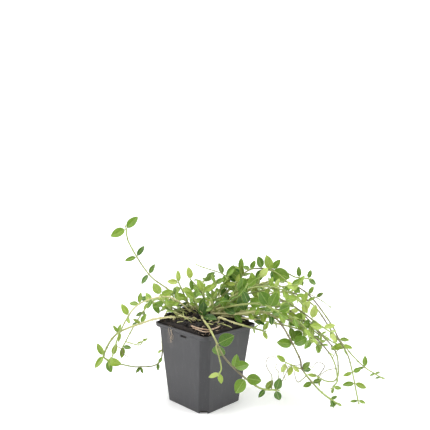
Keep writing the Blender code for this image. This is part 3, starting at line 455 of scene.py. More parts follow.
def start_stems(soil):
    """Every stem on its drawn route, before the stems settle against each other."""
    scale = RIM_SIDE / ROUTES_FIT_RIM
    stems = {}
    for name, (radius, foliage, root, route, pairs) in RUNNERS.items():
        x, y = root[0] * scale, root[1] * scale
        ground = ground_at(soil, x, y)
        points = [(x, y, ground + GAP + radius / 2), (x * 1.02, y * 1.02, ground + 5.0)]
        points += [(px * scale, py * scale, POT_HEIGHT + pz) for px, py, pz in route]
        stems[name] = Stem(name, radius, foliage, smooth_path(points), pairs)
    for name, (radius, foliage, parent, place, route, pairs) in SIDE_SHOOTS.items():
        carrier = stems[parent]
        step = round(place * (len(carrier.path) - 1))
        joint = Vector(carrier.path[step])
        heading = (Vector(carrier.path[step + 1]) - joint).normalized()
        first = Vector((route[0][0] * scale, route[0][1] * scale, POT_HEIGHT + route[0][2])) - joint
        away = (first - heading * first.dot(heading)).normalized()
        away *= carrier.radius + radius + GAP
        points = [joint + away]
        points += [(px * scale, py * scale, POT_HEIGHT + pz) for px, py, pz in route]
        stems[name] = Stem(name, radius, foliage, smooth_path(points), pairs)
        stems[name].parent = (parent, step, away)
    return stems


def push_from_pot(point, radius, soil, distance):
    """The shift that brings one point of a stem clear of the pot, the soil and the ground."""
    shift = Vector((0.0, 0.0, 0.0))
    x, y, z = point
    keep = radius + GAP
    shift.z = max(0.0, keep - z)
    outside, way = past_rim(x, y)
    if outside > keep:
        return shift
    ground = ground_at(soil, x, y)
    lip = outside > -(2 * WALL + LIP_WALL + keep)
    if lip or ground is None:
        top = max(POT_HEIGHT, ground or 0.0) + keep
        up, out = top - z, keep - outside
        if up <= 0:
            return shift
        return shift + (way * out if out < up else Vector((0.0, 0.0, up)))
    rise = min(keep, GAP + radius / 2 + distance)
    shift.z = max(shift.z, ground + rise - z)
    return shift


def settle(stems, soil):
    """Part the stems from each other, the pot, the soil and the ground, keeping their curves smooth."""
    names = list(stems)
    owner = np.concatenate([np.full(len(stems[n].path), i) for i, n in enumerate(names)])
    order = np.concatenate([np.arange(len(stems[n].path)) for n in names])
    radius = np.concatenate([np.full(len(stems[n].path), stems[n].radius) for n in names])
    drawn = np.vstack([stems[n].path for n in names])
    moved = np.zeros_like(drawn)
    starts = dict(zip(names, np.searchsorted(owner, np.arange(len(names)))))
    parents = {
        names.index(n): names.index(stems[n].parent[0]) for n in names if stems[n].parent
    }
    reach = 2 * radius.max() + STEM_ROOM
    for turn in range(SETTLE_ROUNDS):
        now = drawn + moved
        tree = KDTree(len(now))
        for i, place in enumerate(now):
            tree.insert(place, i)
        tree.balance()
        push = np.zeros_like(now)
        for i, place in enumerate(now):
            for other, j, apart in tree.find_range(place, reach):
                if j <= i:
                    continue
                if owner[i] == owner[j] and abs(order[i] - order[j]) < 8:
                    continue
                if parents.get(owner[i]) == owner[j] and order[i] == 0:
                    continue
                if parents.get(owner[j]) == owner[i] and order[j] == 0:
                    continue
                need = radius[i] + radius[j] + STEM_ROOM - apart
                if need <= 0:
                    continue
                way = np.array(place - np.array(other))
                way = way / max(np.linalg.norm(way), 1e-6)
                push[i] += way * need * 0.35
                push[j] -= way * need * 0.35
        for i, place in enumerate(now):
            if order[i] > 0:
                push[i] += push_from_pot(place, radius[i], soil, order[i] * STEM_STEP)
            elif owner[i] in parents:
                parent, step, away = stems[names[owner[i]]].parent
                push[i] = now[starts[parent] + step] + away - place
            else:
                ground = ground_at(soil, place[0], place[1])
                push[i][2] = ground + GAP + radius[i] / 2 - place[2]
        moved += push
        if turn < SETTLE_ROUNDS - 4:
            inner = (order[1:-1] > 0) & (owner[2:] == owner[1:-1])
            even = (moved[:-2] + 2 * moved[1:-1] + moved[2:]) / 4
            moved[1:-1][inner] = even[inner]
    for i, name in enumerate(names):
        stems[name].path = (drawn + moved)[owner == i]
        stems[name].measure()


class Leaf:
    """A blade: where its stalk starts, which way it points, the side its upper face looks to."""

    def __init__(self, base, axis, face, length, droop, fold):
        self.base = base
        self.axis = axis.normalized()
        self.face = (face - self.axis * face.dot(self.axis)).normalized()
        self.side = self.face.cross(self.axis)
        self.length = length
        self.widest = length * (LEAF_RATIO + LEAF_BROADENING * (length - USUAL_LEAF))
        self.droop = droop
        self.fold = fold

    def half_width(self, t):
        s = min(max(0.0, (t - LEAF_START) / (1 - LEAF_START)), 1.0)
        return max(0.45, self.widest * (4 * s * (1 - s)) ** 0.7)

    def point(self, t, across, lift=0.0, spare=0.0):
        """A point of the blade: t from stalk to tip, across from -1 to 1."""
        middle = self.base + self.axis * (self.length * t)
        middle -= self.face * (self.droop * self.length * t * t)
        width = self.half_width(t) + spare
        rise = self.fold * width * abs(across) ** 1.3 + lift
        return middle + self.side * (across * width) + self.face * rise

    def ring(self, t, thickness, spare=0.0):
        """Four corners of a cross-section, in turn as seen from the tip."""
        return [
            self.point(t, 1.0, 0.0, spare),
            self.point(t, 0.0, thickness / 2),
            self.point(t, -1.0, 0.0, spare),
            self.point(t, 0.0, -thickness / 2),
        ]


def tree_of_rings(rings, tip=None):
    """A BVH of the skin through four-cornered rings, closed to a point where there is a tip."""
    points = [corner for ring in rings for corner in ring]
    faces = []
    for i in range(len(rings) - 1):
        for k in range(4):
            m = (k + 1) % 4
            faces.append((4 * i + k, 4 * i + m, 4 * i + 4 + m, 4 * i + 4 + k))
    if tip is not None:
        points.append(tip)
        last = 4 * (len(rings) - 1)
        faces += [(last + k, last + (k + 1) % 4, len(points) - 1) for k in range(4)]
    return BVHTree.FromPolygons(points, faces)


def leaf_tree(leaf, start, thickness, spare):
    marks = (start, *LEAF_SECTIONS, 0.86)
    rings = [leaf.ring(t, thickness, spare) for t in marks]
    return tree_of_rings(rings, leaf.point(1.0 + spare / leaf.length, 0.0))


def stem_rings(stem, marks):
    """Square cross-sections of a stem at distances along it, with no twist between them."""
    rings = []
    heading = stem.heading(marks[0])
    side = heading.orthogonal().normalized()
    for mark in marks:
        turned = stem.heading(mark)
        side = (side - turned * side.dot(turned)).normalized()
        other = turned.cross(side)
        centre = stem.at(mark)
        radius = stem.radius * (1 - 0.35 * mark / stem.length)
        rings.append([
            centre + (side * c + other * s) * radius for c, s in ((1, 0), (0, 1), (-1, 0), (0, -1))
        ])
    return rings


def pair_places(stem):
    """Distance of each pair along the stem, kept apart and inside the stem's length."""
    last = stem.length - NODE_HALF
    return [min(place * stem.length, last) for place, *_ in stem.pairs]


def bend_between(stem, a, b, pieces):
    """How far a stem leaves the straight lines that join evenly spaced points of a stretch."""
    worst = 0.0
    for k in range(pieces):
        low, high = (a + (b - a) * step / pieces for step in (k, k + 1))
        chord = (stem.at(low) + stem.at(high)) / 2
        worst = max(worst, (stem.at((low + high) / 2) - chord).length)
    return worst


def ring_marks(stem):
    """Where the stem's cross-sections go: both ends of each pair's stretch, and evenly between."""
    fixed = {0.0, stem.length}
    for place in pair_places(stem):
        fixed.add(place - NODE_HALF)
        fixed.add(min(place + NODE_HALF, stem.length))
    fixed = sorted(fixed)
    marks = []
    for a, b in zip(fixed, fixed[1:]):
        pieces = 1
        while pieces * STEM_STEP < b - a and (
            (b - a) / pieces > RING_SPACING or bend_between(stem, a, b, pieces) > RING_BEND
        ):
            pieces += 1
        marks += [a + (b - a) * k / pieces for k in range(pieces)]
    return [*marks, stem.length]


def drawn_attitude(bearing, luck):
    """A leaf whose bearing in the X-Z plane is given: its face looks out and up."""
    angle = math.radians(bearing)
    axis = Vector((math.cos(angle), luck.uniform(-0.35, 0.25), math.sin(angle)))
    return axis, Vector((luck.uniform(-0.3, 0.3), -0.9, luck.uniform(0.25, 0.8)))


def free_attitude(stem, place, side, roll, luck):
    """A leaf that spreads sideways from its stem, its face up and turned to the light."""
    heading = stem.heading(place)
    level = heading.cross(Vector((0.0, 0.0, 1.0)))
    if level.length < 0.2:
        level = heading.cross(Vector((0.0, 1.0, 0.0)))
    level.normalize()
    upper = level.cross(heading)
    spread = math.radians(luck.uniform(48, 72))
    across = level * math.cos(roll) + upper * math.sin(roll)
    axis = heading * math.cos(spread) + across * (side * math.sin(spread))
    front = -1.0 if stem.at(place).y < 50.0 else 1.0
    face = Vector((luck.uniform(-0.5, 0.5), front * luck.uniform(0.1, 1.0), luck.uniform(0.3, 1.0)))
    return axis, face


ATTITUDES = [
    (size, turn, tilt, roll)
    for size in (1.0, 0.85, 0.7, 0.55)
    for roll in (0, 40, -40)
    for tilt in (0, 25, -25, 50)
    for turn in (0, 20, -20, 40, -40)
]


def turned_leaf(base, axis, face, length, droop, fold, attitude):
    size, turn, tilt, roll = attitude
    first = Leaf(base, axis, face, length, droop, fold)
    spin = Matrix.Rotation(math.radians(turn), 3, first.face)
    lift = Matrix.Rotation(math.radians(tilt), 3, first.side)
    twist = Matrix.Rotation(math.radians(roll), 3, first.axis)
    whole = spin @ lift @ twist
    return Leaf(base, whole @ first.axis, whole @ first.face, length * size, droop, fold)


def clear_of_pot(leaf, soil):
    """Whether every part of the blade stays above the soil and ground and off the pot."""
    keep = GAP + LEAF_THICKNESS / 2
    for t in (0.3, 0.64, 0.86, 1.0):
        for across in (-1.0, 0.0, 1.0):
            spot = leaf.point(t, across)
            if spot.z < keep:
                return False
            if spot.z > POT_HEIGHT + MOUND_HEIGHT + 4:
                continue
            outside, _ = past_rim(spot.x, spot.y)
            if outside > keep:
                continue
            if outside > -(2 * WALL + LIP_WALL + keep) and spot.z < POT_HEIGHT + keep:
                return False
            ground = ground_at(soil, spot.x, spot.y)
            if ground is not None and spot.z < ground + keep + 0.4:
                return False
    return True


class Crowd:
    """Everything already grown, for finding a leaf a place of its own."""

    def __init__(self, stems, soil):
        self.soil = soil
        self.stems = []
        for stem in stems.values():
            rings = stem_rings(stem, ring_marks(stem))
            self.stems.append((stem, tree_of_rings(rings), stem.path.min(axis=0), stem.path.max(axis=0)))
        self.leaves = []

    def takes(self, leaf, stem):
        if not clear_of_pot(leaf, self.soil):
            return False
        whole = leaf_tree(leaf, 0.0, LEAF_THICKNESS + 2 * GAP, LEAF_ROOM)
        outer = leaf_tree(leaf, 0.22, LEAF_THICKNESS + 2 * GAP, LEAF_ROOM)
        if outer.overlap(self.soil):
            return False
        middle = leaf.point(0.5, 0.0)
        for other, tree, low, high in self.stems:
            if any(middle[i] < low[i] - leaf.length or middle[i] > high[i] + leaf.length for i in range(3)):
                continue
            if (outer if other is stem else whole).overlap(tree):
                return False
        for other, tree in self.leaves:
            if (other.point(0.5, 0.0) - middle).length > (other.length + leaf.length) * 0.62:
                continue
            same_pair = other.base == leaf.base
            if (outer if same_pair else whole).overlap(tree):
                return False
        return True

    def add(self, leaf):
        self.leaves.append((leaf, leaf_tree(leaf, 0.04, LEAF_THICKNESS, 0.0)))


def grow_leaves(stems, soil):
    """Give each pair its two leaves, in the first attitude that nothing else is in the way of."""
    crowd = Crowd(stems, soil)
    for stem in stems.values():
        luck = random.Random(stem.name)
        for place, (_, length, *bearings) in zip(pair_places(stem), stem.pairs):
            base = stem.at(place)
            roll = math.radians(luck.uniform(-55, 55))
            for k in range(2):
                if bearings:
                    axis, face = drawn_attitude(bearings[k], luck)
                else:
                    axis, face = free_attitude(stem, place, 1 - 2 * k, roll, luck)
                size = length * luck.uniform(0.94, 1.16)
                droop = luck.uniform(-0.05, 0.22)
                fold = luck.uniform(0.08, 0.3)
                for attitude in ATTITUDES:
                    leaf = turned_leaf(base, axis, face, size, droop, fold, attitude)
                    if crowd.takes(leaf, stem):
                        crowd.add(leaf)
                        leaf.place = place
                        stem.leaves.append(leaf)
                        break


def lay_roots(soil):
    """Roots and old stems that lie on the soil, following its lumps."""
    scale = RIM_SIDE / ROUTES_FIT_RIM
    laid = {}
    for name, (radius, route) in SURFACE_ROOTS.items():
        path = smooth_path([(x * scale, y * scale, 0.0) for x, y in route])
        for place in path:
            around = [(radius * c, radius * s) for c, s in ((0, 0), (1, 0), (-1, 0), (0, 1), (0, -1))]
            heights = [ground_at(soil, place[0] + dx, place[1] + dy) for dx, dy in around]
            place[2] = max(h for h in heights if h is not None) + radius + GAP
        laid[name] = Stem(name, radius, None, path, [])
        laid[name].measure()
    return laid


# ---------------------------------------------------------------- how the looks differ from the plain model

STEM_FINE = 0.8  # step along a drawn stem
STEM_SIDES = 8
STEM_TAPER = 0.2
KNOT_SWELLING = 0.42
KNOT_REACH = 0.8
CURL_RADIUS = 0.62
STEM_THICKNESS = 1.3  # of a round stem, against the corners of the model's square one
LEAFLESS_SPACING = 14.0  # between the knots where a stem has dropped its leaves
BURIED = 3.0  # how deep a stem is drawn into the soil
BLADE_STEPS = 13
BLADE_ACROSS = (0.0, 0.1, 0.3, 0.55, 0.8, 1.0)
BLADE_THICKNESS = 0.24
BUD_WIDTH = 0.17  # half width over length, in the leaves of a bud
LONG_RUNNER = 150.0
SHARP_OVER = 55.0  # degrees
FINE_SOIL = 150
SOIL_ROUGHNESS = 1.0

SOIL_BANDS = (88.0, 70.0, 50.0, 30.0, 12.0)  # heights of the loops on the plug's sides
HEAP = (-34.0, 12.0, 17.0, 3.2)  # loose soil piled on the left: its middle, spread and height
CRUMBS = 1500
CLODS = 130
CLOD_MIDDLE, CLOD_SPREAD = (-28.0, 12.0), (13.0, 12.0)
CLOD_LIMITS = (58.0, 52.0)  # furthest towards a side, and towards the left or right corner
RIM_CRUMBS = 700
CHIPS = 60
FIBRES = 230
STRAWS = 22
STUBS = 70
OVER_RIM = ("surface_root_1", "surface_root_2")
OVER_RIM_SHIFT = Vector((0.0, -5.0, 1.2))
LEAF_LOOK, STEM_LOOK = 0, 1
FOLIAGE_AGE = {"light": 0.3, "mid": 0.56, "dark": 0.84}
SLENDER = (0.66, 0.96)  # a drawn blade's width against the model's, from the slimmest to the widest
BROAD_LEAVED = ("front_runner", "right_low", "right_leafy_1")
SLIM_LEAVED = (
    "tall_left", "right_long", "right_fall", "right_drop_a", "right_drop_b", "left_straw", "left_loop")
SLIM = (0.6, 0.84)  # the same for a slim-leaved runner
STRAW = ("left_straw", "over_rim_1", "over_rim_3", "left_loop")  # old stems, pale along their length
AGED = {"tall_left": 0.25, "front_runner": 0.08}  # added to the age of every leaf on a runner

SMEAR_PLACE = (-0.041, -0.018, 0.083)  # metres; dried soil on the front left wall

# The studio, in metres, degrees and watts
SWEEP_FRONT, SWEEP_BEND, SWEEP_RADIUS, SWEEP_TOP, SWEEP_HALF_WIDTH = -3.0, 1.4, 0.9, 4.0, 4.0
ROOM_LIGHT = 0.1
LIT_MIDDLE = (0.03, 0.0, 0.1)
LAMPS = {
    "softbox_left": ((-1.2, -0.2, 0.6), (0.9, 1.2), 17.0),
    "softbox_right": ((1.2, -0.2, 0.6), (0.9, 1.2), 16.0),
    "softbox_top": ((0.0, 0.0, 1.5), (1.4, 1.2), 20.0),
}
CAMERA_PLACE = (0.0, -0.6142, 0.2627)
CAMERA_YAW, CAMERA_PITCH, CAMERA_ROLL = -0.834, 86.665, 1.2
CAMERA_LENS = 42.61

# Thin roots that curl off a runner in the air: the runner, then points after the one they leave from.
CURLS = [
    ("right_low", [(110, -30, 34), (106, -30, 44), (108, -30, 53)]),
    ("front_runner",
     [(75, -60, 52), (71, -60, 59), (68, -60, 67), (71, -60, 73), (77, -60, 74), (80, -60, 72)]),
    ("front_runner", [(83, -60, 55), (79, -61, 61), (80, -60, 66)]),
    ("front_runner", [(92, -58, 57), (91, -58, 64)]),
    ("right_drop_b", [(146, -8, 46), (138, -6, 50), (131, -8, 44), (126, -8, 47)]),
    ("right_drop_a", [(147, -24, 47), (139, -26, 43), (134, -24, 35)]),
    ("right_low", [(98, -34, 54), (92, -36, 46), (95, -36, 38)]),
    ("right_fall", [(164, 2, 62), (158, 0, 54), (160, -2, 46)]),
    ("left_loop", [(-100, -16, 66), (-97, -18, 60), (-91, -18, 57)]),
]

# Fine root hairs that hang over the rim: distance from the front corner, and drop below the rim.
WALL_HAIRS = [
    [(58, -0.6), (58, 3), (57, 8), (59, 13), (58, 19)],
    [(62, -0.6), (61, 4), (62, 9), (60, 13), (57, 16)],
    [(55, -0.6), (56, 4), (58, 8), (59, 12), (61, 15), (60, 20)],
    [(60, -0.6), (59, 6), (56, 10), (56, 15)],
]


# ---------------------------------------------------------------- pieces

class Skin:
    """The faces of one piece as they are added, and what its materials read at every point."""

    def __init__(self):
        self.points = []
        self.faces = []
        self.looks = []
        self.spots = []
        self.tones = []

    def add(self, points, faces, look, spots, tones):
        first = len(self.points)
        self.points += points
        self.faces += [[first + corner for corner in face] for face in faces]
        self.looks += [look] * len(faces)
        self.spots += spots
        self.tones += tones

    def piece(self, name, materials):
        mesh = bpy.data.meshes.new(name)
        mesh.from_pydata([tuple(x * METRE for x in place) for place in self.points], [], self.faces)
        mesh.polygons.foreach_set("material_index", self.looks)
        for label, values in (("spot", self.spots), ("tone", self.tones)):
            held = mesh.attributes.new(label, "FLOAT_VECTOR", "POINT")
            held.data.foreach_set("vector", np.array(values, np.float32).ravel())
        return link_piece(name, mesh, materials)


def mesh_in_metres(bm, name):
    bmesh.ops.recalc_face_normals(bm, faces=bm.faces)
    bmesh.ops.scale(bm, vec=(METRE,) * 3, verts=bm.verts)
    mesh = bpy.data.meshes.new(name)
    bm.to_mesh(mesh)
    bm.free()
    return mesh


def link_piece(name, mesh, materials):
    for look in materials:
        mesh.materials.append(look)
    mesh.shade_smooth()
    mesh.set_sharp_from_angle(angle=math.radians(SHARP_OVER))
    made = bpy.data.objects.new(name, mesh)
    bpy.context.scene.collection.objects.link(made)
    return made


def stand_for(piece, slot, *nodes):
    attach(piece, "root")
    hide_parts(*nodes)


def add_tube(skin, path, radii, sides, look, tones):
    """A round closed tube along a path, with a radius and a tone at each of its points."""
    points, spots, tints = [], [], []
    side = (path[1] - path[0]).orthogonal().normalized()
    along = 0.0
    last = len(path) - 1
    for i, place in enumerate(path):
        heading = (path[min(i + 1, last)] - path[max(i - 1, 0)]).normalized()
        side = (side - heading * side.dot(heading)).normalized()
        other = heading.cross(side)
        if i:
            along += (place - path[i - 1]).length
        for k in range(sides):
            turn = 2 * math.pi * k / sides
            across = side * math.cos(turn) + other * math.sin(turn)
            points.append(place + across * radii[i])
            spots.append((math.cos(turn), math.sin(turn), along))
            tints.append(tones[i])
    faces = []
    for i in range(last):
        for k in range(sides):
            m = (k + 1) % sides
            faces.append((i * sides + k, i * sides + m, (i + 1) * sides + m, (i + 1) * sides + k))
    faces.append(tuple(reversed(range(sides))))
    faces.append(tuple(range(last * sides, last * sides + sides)))
    skin.add(points, faces, look, spots, tints)


# ---------------------------------------------------------------- blades

def blade_half(widest, s):
    """Half width at s from stalk to tip: a long oval, widest below its middle, with a short point."""
    peak = 0.43 ** 0.6 * 0.57 ** 0.8
    return max(0.1, widest * s ** 0.6 * (1 - s) ** 0.8 / peak)


def add_blade(skin, leaf, age, luck):
    """A thin closed blade, folded along its midrib, with two faces and a rim."""
    across = [-x for x in reversed(BLADE_ACROSS[1:])] + list(BLADE_ACROSS)
    wave, phase = luck.uniform(0.1, 0.35), luck.uniform(0.0, 6.3)
    twist = luck.uniform(-0.2, 0.2)
    hue = luck.random()
    count = len(across)
    sides = {1: [], 0: []}
    spots = {1: [], 0: []}
    tones = {1: [], 0: []}
    for i in range(BLADE_STEPS):
        s = (1 - math.cos(math.pi * i / (BLADE_STEPS - 1))) / 2
        t = LEAF_START + s * (1 - LEAF_START)
        width = blade_half(leaf.widest, s)
        middle = leaf.base + leaf.axis * (leaf.length * t) - leaf.face * (leaf.droop * leaf.length * t * t)
        for a in across:
            rise = leaf.fold * width * abs(a) ** 1.3 + twist * a * width * (s - 0.4)
            rise += wave * math.sin(9.0 * s + phase + 1.5 * a) * abs(a) ** 2 * math.sin(math.pi * s)
            rise -= 0.1 * width * max(0.0, abs(a) - 0.75)
            place = middle + leaf.side * (a * width) + leaf.face * rise
            groove = 0.07 if a == 0 else 0.0
            rib = 0.2 * (1 - s) if a == 0 else 0.0
            for upper in (1, 0):
                lift = BLADE_THICKNESS / 2 - groove if upper else -BLADE_THICKNESS / 2 - rib
                sides[upper].append(place + leaf.face * lift)
                spots[upper].append((a * width, s * leaf.length, float(upper)))
                tones[upper].append((age, hue, abs(a)))
    faces = []
    total = BLADE_STEPS * count
    for i in range(BLADE_STEPS - 1):
        for j in range(count - 1):
            a, b = i * count + j, (i + 1) * count + j
            faces.append((a, b, b + 1, a + 1))
            faces.append((total + a, total + a + 1, total + b + 1, total + b))
    for i in range(BLADE_STEPS - 1):
        for j, flip in ((0, False), (count - 1, True)):
            a, b = i * count + j, (i + 1) * count + j
            edge = (a, total + a, total + b, b)
            faces.append(tuple(reversed(edge)) if flip else edge)
    for i, flip in ((0, True), (BLADE_STEPS - 1, False)):
        for j in range(count - 1):
            a = i * count + j
            edge = (a, total + a, total + a + 1, a + 1)
            faces.append(tuple(reversed(edge)) if flip else edge)
    skin.add(sides[1] + sides[0], faces, LEAF_LOOK, spots[1] + spots[0], tones[1] + tones[0])


def add_stalk(skin, leaf, radius, tone):
    """The short stalk, from inside the stem to under the blade."""
    marks = [0.0, 0.04, 0.08, LEAF_START + 0.03, LEAF_START + 0.1]
    path = [leaf.point(t, 0.0, -0.12) for t in marks]
    thick = min(0.42, radius * 0.6)
    add_tube(skin, path, [thick * k for k in (1.35, 1.1, 0.95, 0.8, 0.5)], 6, STEM_LOOK, [tone] * 5)


def small_leaf(base, axis, face, length):
    """A young folded leaf that isn't in the model."""
    made = Leaf(base, axis, face, length, 0.05, 0.5)
    made.widest = length * BUD_WIDTH
    return made


# ---------------------------------------------------------------- runners

def knot_places(stem, luck):
    """Where the stem is swollen: at each pair, and where older leaves have gone."""
    knots = pair_places(stem)
    mark = luck.uniform(4.0, LEAFLESS_SPACING)
    while mark < stem.length - 6:
        if min(abs(mark - knot) for knot in knots) > LEAFLESS_SPACING * 0.5:
            knots.append(mark)
        mark += LEAFLESS_SPACING * luck.uniform(0.8, 1.2)
    return knots


def stem_tones(stem, marks, purple):
    """Age from 0 at the tip to 1 at an old base, for each mark."""
    oldest = 1.6 if stem.name in STRAW else min(1.0, 0.35 + stem.length / 160)
    return [(oldest * (1 - max(mark, 0.0) / stem.length), 0.5, purple) for mark in marks]


def add_stem(skin, stem, parent, luck):
    path = fine_path(stem.path, STEM_FINE)
    step = (path[1] - path[0]).length
    marks = [step * i for i in range(len(path))]
    if parent is None:
        lead = [path[0] + Vector((0.0, 0.0, -BURIED)), path[0] + Vector((0.0, 0.0, -BURIED / 2))]
        path, marks = lead + path, [-BURIED, -BURIED / 2] + marks
    else:
        joint = Vector(parent.path[stem.parent[1]])
        path, marks = [joint] + path, [-1.0] + marks
    knots = knot_places(stem, luck)
    radii = []
    for i, mark in enumerate(marks):
        place = path[i]
        swell = sum(math.exp(-((mark - knot) / KNOT_REACH) ** 2) for knot in knots if abs(mark - knot) < 3)
        taper = 1 - STEM_TAPER * max(mark, 0.0) / stem.length
        uneven = 1 + 0.08 * noise.noise(place * 0.35)
        radii.append(stem.radius * STEM_THICKNESS * taper * uneven * (1 + KNOT_SWELLING * swell))
        path[i] = place + noise.noise_vector(place * 0.22) * 0.14
    purple = 1.0 if stem.length > LONG_RUNNER else luck.uniform(0.0, 0.6)
    add_tube(skin, path, radii, STEM_SIDES, STEM_LOOK, stem_tones(stem, marks, purple))


def add_buds(skin, stem, luck):
    """Tiny leaves in the axils, and the folded young ones at the tip."""
    up = Vector((0.0, 0.0, 1.0))
    for place in pair_places(stem)[:-1]:
        if luck.random() > 0.55:
            continue
        heading = stem.heading(place)
        away = heading.orthogonal().normalized()
        away = Matrix.Rotation(luck.uniform(0, 6.3), 3, heading) @ away
        for turn in (1, -1):
            size = luck.uniform(1.8, 3.4)
            axis = heading + away * (turn * 0.45)
            base = stem.at(place) + away * (turn * stem.radius * 0.5)
            add_blade(skin, small_leaf(base, axis, away * -turn, size), 0.1, luck)
    heading = stem.heading(stem.length)
    away = heading.orthogonal().normalized()
    away = Matrix.Rotation(luck.uniform(0, 6.3), 3, heading) @ away
    for k in range(4):
        out = Matrix.Rotation(math.radians(90 * k + 20), 3, heading) @ away
        size = luck.uniform(2.4, 3.6) if k % 2 else luck.uniform(3.2, 4.6)
        axis = heading + out * 0.3 + up * 0.15
        add_blade(skin, small_leaf(stem.at(stem.length), axis, -out, size), 0.0, luck)


def add_curls(skin, stem):
    """Aerial roots: pale, thread-thin, curling away from the runner."""
    for carrier, route in CURLS:
        if carrier != stem.name:
            continue
        first = Vector(route[0])
        start = min((Vector(place) for place in stem.path), key=lambda place: (place - first).length)
        path = fine_path([start, *route], 1.2)
        path = [place + noise.noise_vector(place * 0.3) * 0.35 for place in path]
        count = len(path)
        radii = [CURL_RADIUS * (1 - 0.4 * i / count) for i in range(count)]
        tones = [(0.4 + 0.1 * noise.noise(place), 0.5, 1.0) for place in path]
        add_tube(skin, path, radii, 6, STEM_LOOK, tones)


def dress_runner(stem, stems, materials):
    skin = Skin()
    luck = random.Random(stem.name + " looks")
    parent = stems[stem.parent[0]] if stem.parent else None
    add_stem(skin, stem, parent, luck)
    for leaf in stem.leaves:
        age = FOLIAGE_AGE[stem.foliage] + 0.22 * (0.55 - leaf.place / stem.length)
        age += AGED.get(stem.name, 0.0)
        age = min(1.0, max(0.0, age + luck.uniform(-0.28, 0.2)))
        stem_age = 0.3 * (1 - leaf.place / stem.length)
        add_stalk(skin, leaf, stem.radius, (stem_age, luck.random(), 0.2))
        if stem.name in BROAD_LEAVED:
            leaf.widest *= 0.97
        else:
            leaf.widest *= luck.uniform(*(SLIM if stem.name in SLIM_LEAVED else SLENDER))
        add_blade(skin, leaf, age, luck)
    add_buds(skin, stem, luck)
    add_curls(skin, stem)
    made = skin.piece(stem.name + "_look", materials)
    stand_for(made, "leaf_" + stem.foliage, stem.name)
    return made


# ---------------------------------------------------------------- soil and roots

def soil_relief(x, y):
    """Fine lumps on top of the modelled soil."""
    spot = Vector((x, y, 0.0))
    broad = noise.fractal(spot * 0.2, 1.0, 2.0, 3) * 1.3
    fine = noise.fractal(spot * 0.9 + Vector((7.0, 3.0, 0.0)), 0.8, 2.0, 3) * 0.45
    return SOIL_ROUGHNESS * (broad + fine)


def soil_top(x, y):
    heap = HEAP[3] * math.exp(-((x - HEAP[0]) ** 2 + (y - HEAP[1]) ** 2) / HEAP[2] ** 2)
    return soil_height(x, y) + heap + soil_relief(x, y)


def dress_soil(look):
    """The root ball with a fine rough top, and sides that follow the pot's inside."""
    bm = bmesh.new()
    bmesh.ops.create_grid(bm, x_segments=FINE_SOIL, y_segments=FINE_SOIL, size=1.0)
    edge_side = inner_side(POT_HEIGHT + SOIL_EDGE)
    for corner in bm.verts:
        place = plug_place(corner.co, edge_side)
        rim = 1 - max(abs(corner.co.x), abs(corner.co.y))
        height = soil_height(place.x, place.y)
        height += (soil_top(place.x, place.y) - height) * min(1.0, 0.3 + rim * 14)
        corner.co = (place.x, place.y, height)
    edges = [edge for edge in bm.edges if edge.is_boundary]
    before = edge_side
    for level in (*SOIL_BANDS, BASE_THICKNESS + GAP):
        pulled = bmesh.ops.extrude_edge_only(bm, edges=edges)["geom"]
        edges = [piece for piece in pulled if isinstance(piece, bmesh.types.BMEdge)]
        shrink = inner_side(level) / before
        for corner in {corner for edge in edges for corner in edge.verts}:
            corner.co = (corner.co.x * shrink, corner.co.y * shrink, level)
        before = inner_side(level)
    bmesh.ops.contextual_create(bm, geom=edges)
    made = link_piece("soil_look", mesh_in_metres(bm, "soil_look"), [look])
    stand_for(made, "soil", "root_ball")


def inside_soil(luck, margin):
    """A place on the soil at least a margin from its edge."""
    half = inner_side(POT_HEIGHT) / 2 - margin
    while True:
        x, y = luck.uniform(-half, half), luck.uniform(-half, half)
        if abs(x) + abs(y) < 2 * half - CORNER_CUT:
            return TURN @ Vector((x, y, 0.0))


def add_chunk(skin, place, size, stretch, detail, luck, tone):
    """An irregular crumb: a ball of few facets, with every corner moved."""
    bm = bmesh.new()
    bmesh.ops.create_icosphere(bm, subdivisions=detail, radius=1.0)
    turn = Matrix.Rotation(luck.uniform(0, 6.3), 3, "Z") @ Matrix.Rotation(luck.uniform(-0.5, 0.5), 3, "X")
    scale = Vector((stretch, 1.0, luck.uniform(0.45, 0.9))) * size
    points = []
    for corner in bm.verts:
        rough = corner.co * luck.uniform(0.68, 1.2)
        points.append(place + turn @ Vector((rough.x * scale.x, rough.y * scale.y, rough.z * scale.z)))
    faces = [tuple(corner.index for corner in face.verts) for face in bm.faces]
    bm.free()
    skin.add(points, faces, 0, [tuple(point) for point in points], [tone] * len(points))


def drop_crumb(skin, place, size, lifts, darkness, stretches, detail, luck):
    """A peat crumb partly sunk in the soil; a higher darkness makes pale ones rarer."""
    place.z = soil_top(place.x, place.y) + size * luck.uniform(*lifts)
    tone = (luck.random() ** darkness, luck.random(), 0.0)
    add_chunk(skin, place, size, luck.uniform(*stretches), detail, luck, tone)


